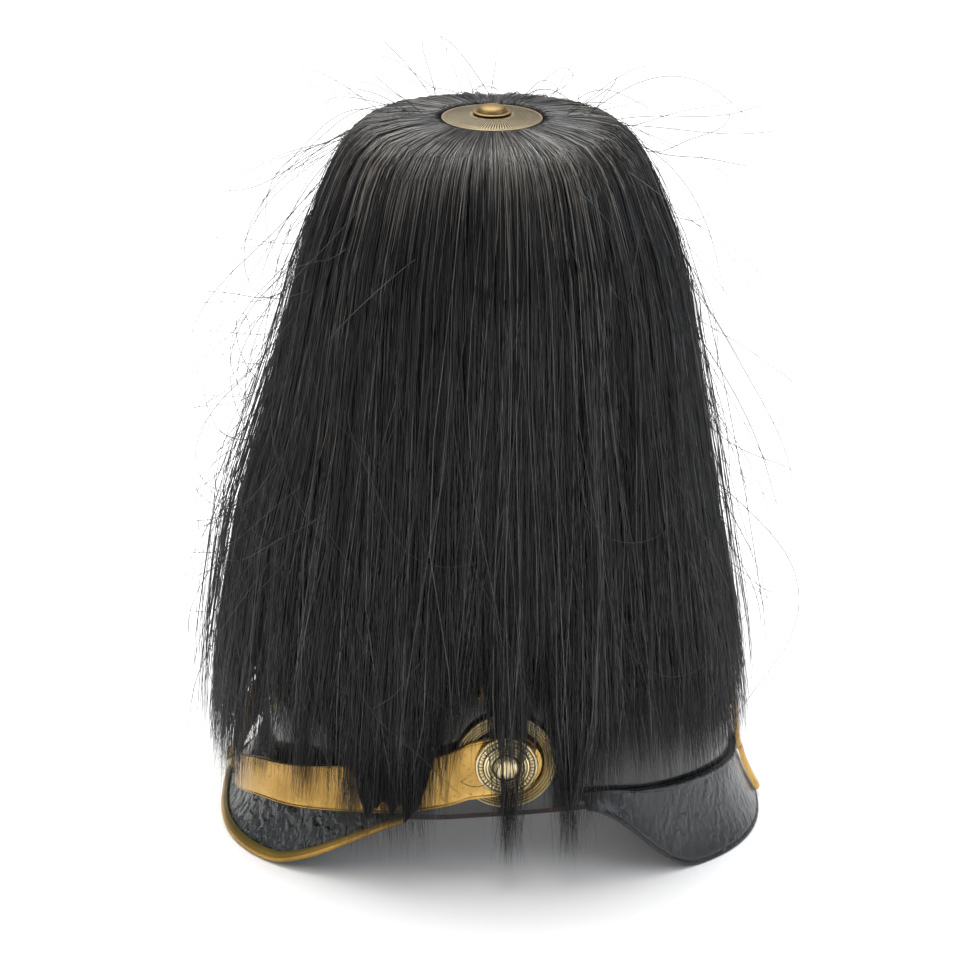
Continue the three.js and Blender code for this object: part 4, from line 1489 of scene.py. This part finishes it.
@dataclass
class PlumeCap:
    """The slightly domed disc with its milled border, and the button in its middle."""

    radius: float = 24.6 * MM
    underside: float = 368 * MM
    rim: float = 1.1 * MM
    crown: float = 1.9 * MM
    button_radius: float = 9.5 * MM
    button_depth: float = 4 * MM

    def disc(self) -> bpy.types.Object:
        """The disc: a thin raised rim round a face that rises gently to the button."""
        R, rim, crown = self.radius, self.rim, self.crown
        # third numbers: tarnish and painted shade in the groove inside the rim
        rings = shares(R, rim, ((0.93, 0, 0.3), (0.985, 0.15, 0.2), (1, 0.45, 0), (1, 0.8, 0)))
        rings += [(0.99 * R, rim, 0), (0.97 * R, rim + 0.05 * MM, 0)]
        rings += [(0.955 * R, rim - 0.1 * MM, 0.3), (0.94 * R, rim - 0.15 * MM, 0.6)]
        for i in range(8):
            reach = mix(0.92, 0.05, i / 7)
            rings.append((reach * R, rim + crown * (1 - reach**2) ** 1.2, 0.15 if i == 0 else 0.0))
        obj = turned("cap_disc_plate", 128, rings)
        place = Matrix.Translation((0, AXIS_Y, self.underside))
        return dress(settle(obj, place), Finishes.PALE, "cap_disc", angle=50)

    def button(self) -> bpy.types.Object:
        """The button: a thin wide flange and a low flat dome."""
        r, d = self.button_radius, self.button_depth
        # third numbers: tarnish and painted shade in the groove round the dome
        flange = ((0.9, 0, 0.5), (0.97, 0.03, 0.2), (1, 0.1, 0), (0.985, 0.18, 0))
        flange += ((0.94, 0.22, 0.0), (0.82, 0.2, 0.3), (0.78, 0.2, 0.8), (0.765, 0.26, 0.4))
        rings = shares(r, d, flange)
        for i in range(9):
            turn = math.radians(10 * i)
            rings.append((0.76 * r * math.cos(turn) ** 0.75, 0.3 * d + 0.7 * d * math.sin(turn), 0.0))
        obj = turned("cap_button_dome", 96, rings)
        foot = self.underside + self.rim + self.crown + SHAPE.gap
        return dress(settle(obj, Matrix.Translation((0, AXIS_Y, foot))), Finishes.BUTTON, "cap_button", angle=50)

    def hidden_post(self) -> None:
        """The crown plate and the plume's post keep their CAD solids under a brass finish."""
        for name in ("plume_base", "plume_holder"):
            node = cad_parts[name]
            node.data.materials.clear()
            node.data.materials.append(Finishes.AGED.value.material())

    def build(self) -> None:
        """Builds the disc and the button, and dresses the post."""
        self.disc()
        self.button()
        self.hidden_post()


@dataclass
class Plume:
    """The black horsehair: a packed curtain behind thousands of loose hairs.

    The hair lies nearly flat under the disc, bends over a shoulder and hangs to ragged tips.
    """

    reach: float = 146 * MM
    side_stand: float = 13 * MM
    plan_power: float = 2.2
    hairs: int = 11000
    batches: int = 6
    strays: int = 260
    locks: int = 190
    crossing_share: float = 0.36
    crossing_turn: float = 10.0
    # painted sheen: how much paler the hairs on the crown are made, for the light that catches them there
    crown_sheen: float = 0.48
    seed: int = 21
    # drop as a share of the disc's height, reach forwards and back as shares of `reach`,
    # share of the narrower sides
    fall: tuple[Row, ...] = (
        (0.0085, 0.15, 0.15, 0),
        (0.0045, 0.178, 0.178, 0),
        (0.003, 0.24, 0.24, 0),
        (0.006, 0.34, 0.34, 0),
        (0.015, 0.43, 0.43, 0),
        (0.045, 0.505, 0.505, 0),
        (0.097, 0.562, 0.568, 0.07),
        (0.19, 0.644, 0.658, 0.2),
        (0.3, 0.697, 0.712, 0.4),
        (0.407, 0.767, 0.757, 0.6),
        (0.515, 0.853, 0.798, 0.76),
        (0.623, 0.905, 0.846, 0.89),
        (0.73, 0.952, 0.911, 0.95),
        (0.838, 0.99, 0.959, 1),
        (0.93, 1.0, 0.973, 1),
        (0.975, 1.0, 0.975, 1),
    )
    tips: Line = Line(
        (
            *((0, 0.07), (18, 0.075), (27, 0.115), (36.5, 0.13), (38.5, 0.09), (41, 0.09), (43, 0.13)),
            *((46.5, 0.125), (48, 0.085), (50, 0.085), (51.5, 0.11), (54.5, 0.066), (64, 0.056)),
            *((71, 0.062), (75, 0.13), (80, 0.215), (86, 0.25), (89, 0.24), (91.5, 0.07), (96, 0.068)),
            *((98.5, 0.21), (105.5, 0.24), (108, 0.07), (113, 0.068), (117, 0.11), (124, 0.135)),
            *((133, 0.125), (145, 0.12), (160, 0.105), (180, 0.1)),
        )
    )
    scatter: Line = Line(
        (
            *((0, 0.22), (20, 0.16), (30, 0.1), (50, 0.08), (58, 0.05), (72, 0.05), (76, 0.07), (90, 0.06)),
            *((105, 0.06), (113, 0.06), (118, 0.12), (135, 0.13), (150, 0.15), (165, 0.19), (180, 0.2)),
        )
    )
    clumps: tuple[float, ...] = (39.8, 49.0, 94.0, 111.0)
    clump_reach: float = 4.5
    path: np.ndarray = field(init=False)

    def __post_init__(self) -> None:
        """Smooths the fall and measures its length."""
        rows = np.array(self.fall)
        dense = []
        for i in range(len(rows) - 1):
            for f in np.linspace(0, 1, 24, endpoint=False):
                dense.append(curve_point(rows, i, f))
        dense.append(rows[-1])
        line = np.array(dense)
        metres = np.column_stack([line[:, 0] * SHAPE.disc_height, line[:, 1:3].mean(1) * self.reach])
        length = np.concatenate([[0], np.cumsum(np.hypot(*np.diff(metres, axis=0).T))])
        self.path = np.column_stack([length, line])

    def surface(
        self, azimuth: np.ndarray, along: np.ndarray, out: np.ndarray
    ) -> tuple[np.ndarray, np.ndarray]:
        """Points of the hair's outer face.

        Args:
            azimuth: Directions in degrees.
            along: Distances down the fall, from the head.
            out: How far off the face each point stands, negative inwards.

        Returns:
            The points, and the face's outward normals.
        """
        length, drop, forward, backward, squeeze = self.path.T
        d, front, rear, q = (np.interp(along, length, c) for c in (drop, forward, backward, squeeze))
        half = SHAPE.strap_outer + self.side_stand
        side = self.reach * (front + rear) / 2 * (1 - (1 - half / self.reach) * q)
        power = 2 + (self.plan_power - 2) * np.clip(along / length[-1], 0, 1)
        turn = np.radians(azimuth)
        c, s = np.cos(turn), np.abs(np.sin(turn))
        ends = self.reach * np.where(c >= 0, front, rear)
        radius = ((np.abs(c) / ends) ** power + (s / side) ** power) ** (-1 / power)
        mean = (forward + backward) / 2
        low, high = along - 1 * MM, along + 1 * MM
        dd = (np.interp(high, length, drop) - np.interp(low, length, drop)) * SHAPE.disc_height
        dr = (np.interp(high, length, mean) - np.interp(low, length, mean)) * self.reach
        size = np.maximum(np.hypot(dd, dr), 1e-9)
        nr, nz = dd / size, dr / size
        radius = radius + out * nr
        x, y = np.sin(turn), -np.cos(turn)
        points = np.stack([radius * x, AXIS_Y + radius * y, SHAPE.disc_height * (1 - d) + out * nz], -1)
        return points, np.stack([nr * x, nr * y, nz], -1)

    def end_of(self, share: np.ndarray) -> np.ndarray:
        """Distance down the fall at which the hair is at a share of the disc's height."""
        falling = self.path[self.path[:, 1] > 0.02]
        return np.interp(1 - share, falling[:, 1], falling[:, 0])

    def curtain(self) -> bpy.types.Object:
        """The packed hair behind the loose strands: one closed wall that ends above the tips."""
        columns, rows = 300, 40
        random = np.random.default_rng(self.seed + 1)
        folded = np.abs((np.arange(columns) * 360 / columns + 180) % 360 - 180)
        bottom = self.tips.many(folded) + self.scatter.many(folded) * 0.8 + 0.02
        bottom += random.uniform(0, 0.05, columns)
        bottom -= np.interp(folded, (52, 56, 69, 73), (0, 0.03, 0.03, 0))
        # it ends higher where the cockade and the skull show below the hair
        turns = (0, 72, 77, 105, 108.5, 113, 120, 145, 180)
        least = (0, 0, 0.33, 0.33, 0.15, 0.15, 0.3, 0.26, 0)
        bottom = np.maximum(bottom, np.interp(folded, turns, least))
        ends = self.end_of(bottom)
        waves = random.uniform(-1, 1, columns)
        waves = (waves + np.roll(waves, 1) + np.roll(waves, 2)) / 3

        def place(u: float, v: float) -> Vector:
            """Down the outside for v up to a half, and back up the inside."""
            column = round(u * columns) % columns
            outside = v <= 0.5
            share = 2 * v if outside else 2 - 2 * v
            depth = mix(3.0, 7.5, smooth(0.0, 0.3, share)) - 1.5 * waves[column] * share
            thick = 0.0 if outside else mix(3.0, 1.0, share)
            if not outside and share > 0.999:
                thick = 0.2
            away = np.array([(depth + thick) * MM])
            along = np.array([mix(4 * MM, ends[column], share)])
            spot, _ = self.surface(np.array([360 * column / columns]), along, -away)
            return Vector(spot[0])

        obj = shaped_grid("plume_under_hair", columns, 2 * rows, place, capped=True)
        return dress(obj, Finishes.HAIR_MASS, "plume", angle=80)

    def strand_mesh(
        self, name: str, points: np.ndarray, out: np.ndarray, widths: np.ndarray, tones: np.ndarray
    ) -> bpy.types.Object:
        """Three-sided hairs along given lines, each closed to a point at both ends.

        Args:
            name: The piece's name.
            points: Line points, hairs by rings by xyz.
            out: A direction off the face at each point.
            widths: Radius at each point.
            tones: Tone at each point.

        Returns:
            The piece.
        """
        count, rings = points.shape[:2]
        tangent = np.gradient(points, axis=1)
        tangent /= np.maximum(np.linalg.norm(tangent, axis=2, keepdims=True), 1e-9)
        side = np.cross(tangent, out)
        side /= np.maximum(np.linalg.norm(side, axis=2, keepdims=True), 1e-9)
        up = np.cross(side, tangent)
        turns = np.radians([90, 210, 330])
        spokes = up[:, 1:-1, None] * np.sin(turns)[:, None] + side[:, 1:-1, None] * np.cos(turns)[:, None]
        tube = points[:, 1:-1, None] + spokes * widths[:, 1:-1, None, None]
        body = tube.reshape(count, -1, 3)
        vertices = np.concatenate([points[:, :1], body, points[:, -1:]], axis=1)
        each = vertices.shape[1]
        inner = rings - 2
        faces = []
        for k in range(3):
            n = (k + 1) % 3
            faces.append((0, 1 + n, 1 + k))
            for j in range(inner - 1):
                a, b = 1 + 3 * j + k, 1 + 3 * j + n
                faces += [(a, b, b + 3), (a, b + 3, a + 3)]
            last = 1 + 3 * (inner - 1)
            faces.append((last + k, last + n, each - 1))
        pattern = np.array(faces, np.int64)
        index = (pattern[None] + (np.arange(count) * each)[:, None, None]).reshape(-1)
        mesh = bpy.data.meshes.new(name)
        mesh.vertices.add(count * each)
        mesh.vertices.foreach_set("co", vertices.reshape(-1).astype(np.float32))
        mesh.loops.add(len(index))
        mesh.loops.foreach_set("vertex_index", index.astype(np.int32))
        mesh.polygons.add(len(index) // 3)
        mesh.polygons.foreach_set("loop_start", np.arange(0, len(index), 3, dtype=np.int32))
        mesh.polygons.foreach_set("use_smooth", np.ones(len(index) // 3, bool))
        tone = mesh.attributes.new("tone", "FLOAT", "POINT")
        spread = np.concatenate([tones[:, :1], np.repeat(tones[:, 1:-1], 3, axis=1), tones[:, -1:]], axis=1)
        tone.data.foreach_set("value", spread.reshape(-1).astype(np.float32))
        mesh.update(calc_edges=True)
        mesh.validate()
        obj = bpy.data.objects.new(name, mesh)
        bpy.context.scene.collection.objects.link(obj)
        mesh.materials.append(Finishes.HAIR.value.material())
        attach(obj, BODY)
        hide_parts("plume")
        LOG.info("%s: %d hairs, %d triangles", name, count, len(mesh.polygons))
        return obj

    def loose_hairs(self) -> None:
        """The hairs that are seen one by one, gathered in loose locks and crossing each other."""
        random = np.random.default_rng(self.seed)
        locks = self.locks
        lock_turn = np.sort(random.uniform(0, 360, locks))
        lock_wave = random.uniform(0, 2 * np.pi, locks)
        lock_end = random.normal(0, 0.014, locks)
        lock_tone = random.normal(0, 0.08, locks)
        lock_depth = random.uniform(0, 7, locks) * MM
        shares = np.array([0, 0.015, 0.06, 0.1, 0.135, 0.17, 0.21, 0.27, 0.37, 0.5, 0.66, 0.83, 1.0])
        n = self.hairs
        start = random.uniform(0, 360, n)
        which = np.searchsorted(lock_turn, start) % locks
        to_lock = (lock_turn[which] - start + 180) % 360 - 180
        crossing = random.uniform(0, 1, n) < self.crossing_share
        drift = np.where(crossing, random.normal(0, self.crossing_turn, n), random.normal(0, 2.2, n))
        late = random.uniform(1.1, 3.2, n)
        signed = (start + drift + 180) % 360 - 180
        landing = np.abs(signed)
        pull = sum(
            0.55 * (c - landing) * np.exp(-(((landing - c) / self.clump_reach) ** 2)) for c in self.clumps
        )
        landing = landing + pull
        spread = self.scatter.many(landing)
        tip = self.tips.many(landing) + lock_end[which] + spread * random.uniform(0, 1, n) ** 2.8
        tip -= np.where(random.uniform(0, 1, n) < 0.04, random.uniform(0, 0.06, n), 0.0)
        end = self.end_of(np.clip(tip, 0.035, 0.6))
        s = shares[None, :]
        along = random.uniform(0, 5, n)[:, None] * MM * (1 - s) + end[:, None] * s
        azimuth = start[:, None] + drift[:, None] * s ** late[:, None] + to_lock[:, None] * 0.62 * s
        phase, pace = random.uniform(0, 2 * np.pi, n), random.uniform(0.8, 2.6, n)
        sway = np.where(random.uniform(0, 1, n) < 0.18, random.uniform(2, 6, n), 1.1)
        azimuth += (0.3 + sway[:, None] * s) * np.sin(phase[:, None] + pace[:, None] * 2 * np.pi * s)
        azimuth += (np.sign(signed) * pull)[:, None] * s**3
        azimuth += 0.8 * s * np.sin(lock_wave[which][:, None] + 7 * s)
        layer = random.uniform(0, 10, n)
        at_front = np.exp(-((np.abs((start + 180) % 360 - 180) / 35) ** 2))
        loose = random.uniform(0, 1, n) < 0.12 + 0.05 * at_front
        stray = np.minimum(random.exponential(1, n) * np.where(loose, 3.2 + 1.3 * at_front, 0.3), 13) * MM
        depth = -layer[:, None] * MM * (1 - 0.55 * s) * np.minimum(1, 0.2 + 5 * s)
        out = depth - lock_depth[which][:, None] * np.minimum(1, 2 * s)
        out = out + stray[:, None] * np.minimum(1, 1.6 * s) ** 1.2 * (1 + 0.5 * np.sin(np.pi * s))
        out += 0.9 * MM * np.sin(phase[:, None] * 2 + 9 * s) * s
        points, normals = self.surface(azimuth, along, out)
        taper = np.interp(shares, (0, 0.05, 0.8, 1), (0.9, 1, 0.95, 0.5))
        widths = random.uniform(0.11, 0.27, n)[:, None] * MM * taper
        kind = random.uniform(0, 1, n)
        dark, middling = random.uniform(0, 0.45, n), random.uniform(0.45, 0.78, n)
        tones = np.select([kind < 0.7, kind < 0.9], [dark, middling], random.uniform(0.78, 1, n))
        widths *= np.where(tones > 0.8, 0.75, 1.0)[:, None]
        # painted sheen: hairs are made paler in a band on the crown below the disc
        crown_sheen = self.crown_sheen * np.exp(-(((shares - 0.1) / 0.09) ** 2))
        crown_sheen_by_hair = crown_sheen * random.uniform(0.3, 1.7, n)[:, None]
        tones = np.clip((tones + lock_tone[which])[:, None] + crown_sheen_by_hair, 0, 1)
        order = np.argsort(start)
        for k, part in enumerate(np.array_split(order, self.batches)):
            self.strand_mesh(f"plume_hair_{k + 1}", points[part], normals[part], widths[part], tones[part])

    def stray_hairs(self) -> None:
        """The few long hairs that stand off the plume and curl, most of them at the front and the top."""
        random = np.random.default_rng(self.seed + 2)
        n, rings = self.strays, 28
        share = np.arange(n) / n
        azimuth = np.select(
            [share < 0.4, share < 0.56, share < 0.82],
            [random.normal(5, 32, n), random.normal(178, 28, n), random.uniform(180, 360, n)],
            random.uniform(0, 360, n),
        )
        upper = (share >= 0.56) & (share < 0.82)
        along = np.where(upper, random.uniform(8, 75, n), random.uniform(50, 300, n)) * MM
        point, normal = self.surface(azimuth, along, np.full(n, -1 * MM))
        below, _ = self.surface(azimuth, along + 4 * MM, np.full(n, -1 * MM))
        down = below - point
        down /= np.linalg.norm(down, axis=1, keepdims=True)
        aside = np.cross(normal, down)
        lean = random.uniform(0.25, 0.9, n)[:, None]
        heading = down + normal * lean + aside * random.normal(0, 0.35, n)[:, None]
        heading /= np.linalg.norm(heading, axis=1, keepdims=True)
        # a positive turn about the side axis bends an outward hair back down to the plume
        axis = aside * random.choice([1.0, 1.0, 1.0, -0.6], n)[:, None]
        axis = axis + normal * random.normal(0, 0.5, n)[:, None]
        axis /= np.linalg.norm(axis, axis=1, keepdims=True)
        bend = 1 / random.uniform(30, 130, n)
        phase, pace = random.uniform(0, 2 * np.pi, n), random.uniform(0.5, 1.6, n)
        step = np.where(upper, random.uniform(1.2, 4.5, n), random.uniform(2.5, 7.5, n))
        line = [point]
        for k in range(rings - 1):
            turn = (bend * step * (0.7 + 0.9 * np.sin(phase + pace * 2 * np.pi * k / rings)))[:, None]
            heading = heading * np.cos(turn) + np.cross(axis, heading) * np.sin(turn)
            heading[:, 2] -= 0.012
            heading /= np.linalg.norm(heading, axis=1, keepdims=True)
            line.append(line[-1] + heading * (step * MM)[:, None])
        points = np.stack(line, 1)
        # a hair that would leave the room round the plume is made shorter as a whole
        low, high = np.array(CAD_BOX[0]), np.array(CAD_BOX[1])
        room = np.minimum(0.03 * (high - low) + 0.01, 0.02) - 2 * MM
        low, high = low - room, high + room
        low[2] = 55 * MM
        away = points - points[:, :1]
        limit = np.where(away > 0, high - points[:, :1], low - points[:, :1])
        limit = limit * random.uniform(0.75, 1, n)[:, None, None]
        moved = np.abs(away) > 1e-6
        fit = np.where(moved, np.clip(limit / np.where(moved, away, 1), 0.05, 1), 1)
        points = points[:, :1] + away * fit.min(axis=(1, 2))[:, None, None]
        out = np.repeat(normal[:, None], rings, 1)
        s = np.linspace(0, 1, rings)
        taper = np.interp(s, (0, 0.1, 0.8, 1), (0.8, 1, 0.8, 0.4))
        widths = random.uniform(0.17, 0.25, n)[:, None] * MM * taper
        tones = np.repeat(random.uniform(0.2, 0.8, n)[:, None], rings, 1)
        self.strand_mesh("plume_stray_hair", points, out, widths, tones)

    def build(self) -> None:
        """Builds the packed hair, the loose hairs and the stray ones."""
        self.curtain()
        self.loose_hairs()
        self.stray_hairs()


@dataclass
class Studio:
    """Pale floor, soft light and the camera at the photograph's angle."""

    camera_place: tuple[float, float, float] = (1329.19 * MM, -46.42 * MM, 720.2 * MM)
    heading: float = 88.1575
    pitch: float = 22.112
    roll: float = 0.7
    lens: float = 105.975
    floor_half: float = 9.0
    patch: tuple[float, float, float] = (-0.42, -0.08, 0.904)
    surround: float = 1.0
    overhead: float = 9.0
    # height in the sky and its tone; white at the horizon, so that low views show no band
    sky: tuple[tuple[float, str], ...] = (
        (0.0, "#ffffff"),
        (0.04, "#d3d5d7"),
        (0.2, "#b1b5b9"),
        (0.4, "#909397"),
        (0.66, "#909397"),
        (0.8, "#dadada"),
    )

    def camera(self) -> None:
        """The camera, placed from the plume's axis."""
        b, p, r = (math.radians(a) for a in (self.heading, self.pitch, self.roll))
        right = Vector((math.cos(b), math.sin(b), 0))
        forward = Vector((-math.sin(b) * math.cos(p), math.cos(b) * math.cos(p), -math.sin(p)))
        up = right.cross(forward)
        x = right * math.cos(r) + up * math.sin(r)
        y = up * math.cos(r) - right * math.sin(r)
        data = bpy.data.cameras.new("camera")
        data.lens, data.sensor_width = self.lens, 36.0
        data.clip_start, data.clip_end = 0.05, 60.0
        obj = bpy.data.objects.new("camera", data)
        bpy.context.scene.collection.objects.link(obj)
        place = Matrix((x, y, -forward)).transposed().to_4x4()
        place.translation = Vector(self.camera_place) + Vector((0, AXIS_Y, 0))
        obj.matrix_world = place
        bpy.context.scene.camera = obj

    def softbox(
        self, name: str, place: Row, size: float, power: float, colour: str = "#ffffff", aim: Row = (0, 0, 0.2)
    ) -> None:
        """A square soft light aimed at the helmet, or at another point.

        Args:
            name: The light's name.
            place: Where it hangs.
            size: Length of its side.
            power: Power in watts.
            colour: Its sRGB code.
            aim: The point that it faces.
        """
        data = bpy.data.lights.new(name, "AREA")
        data.size, data.energy, data.color = size, power, linear(colour)[:3]
        obj = bpy.data.objects.new(name, data)
        bpy.context.scene.collection.objects.link(obj)
        obj.location = place
        obj.rotation_euler = (Vector(aim) - obj.location).to_track_quat("-Z", "Y").to_euler()

    def lights(self) -> None:
        """A bright patch of sky above and behind, so that the shadow falls forwards, and weak softboxes.

        Three stand on the near side; the weakest lies inside the helmet and lifts the shadow under it.
        """
        self.softbox("key_light", (0.9, -1.3, 1.35), 1.1, 8, "#fff8ee")
        self.softbox("fill_light", (0.9, 1.5, 1.0), 0.9, 7, "#eef4ff")
        self.softbox("sheen_light", (0.55, -0.05, 1.8), 0.5, 4)
        self.softbox("under_light", (0, AXIS_Y, 0.05), 0.16, 0.014, aim=(0, AXIS_Y, 0))
        world = bpy.data.worlds.new("studio_surround")
        world.use_nodes = True
        nodes = Nodes(world.node_tree)
        where = nodes.add("TexCoord").outputs["Generated"]
        height = nodes.add("SeparateXYZ", {0: where}).outputs["Z"]
        shade = nodes.ramp(height, *self.sky)
        towards = nodes.add("VectorMath", {0: where, 1: self.patch}, operation="DOT_PRODUCT").outputs["Value"]
        power = (self.surround, self.overhead)
        strength = nodes.remap(towards, (0.78, 0.95), power, interpolation_type="SMOOTHSTEP")
        back = nodes.add("Background", {"Color": shade, "Strength": strength})
        nodes.add("OutputWorld", {"Surface": back.outputs[0]})
        bpy.context.scene.world = world

    def floor(self) -> None:
        """A wide plane of pale paper."""
        bpy.ops.object.select_all(action="DESELECT")
        bpy.ops.mesh.primitive_plane_add(size=2 * self.floor_half, location=(0, 0, 0))
        obj = bpy.context.active_object
        obj.name = "studio_floor"
        obj.data.materials.append(StudioPaper("studio_paper", "").material())

    def build(self) -> None:
        """Builds the studio."""
        self.camera()
        self.lights()
        self.floor()
        bpy.context.scene.view_settings.view_transform = "Standard"


def main() -> None:
    """Builds the studio and the helmet, piece by piece."""
    logging.basicConfig(level=logging.INFO, format="%(message)s")
    for part in (Studio(), Skull(), Brims(), ChinStrap(), SideFittings(), SkullBrass(), PlumeCap(), Plume()):
        part.build()
        LOG.info("built %s", type(part).__name__)


if __name__ == "__main__":
    main()
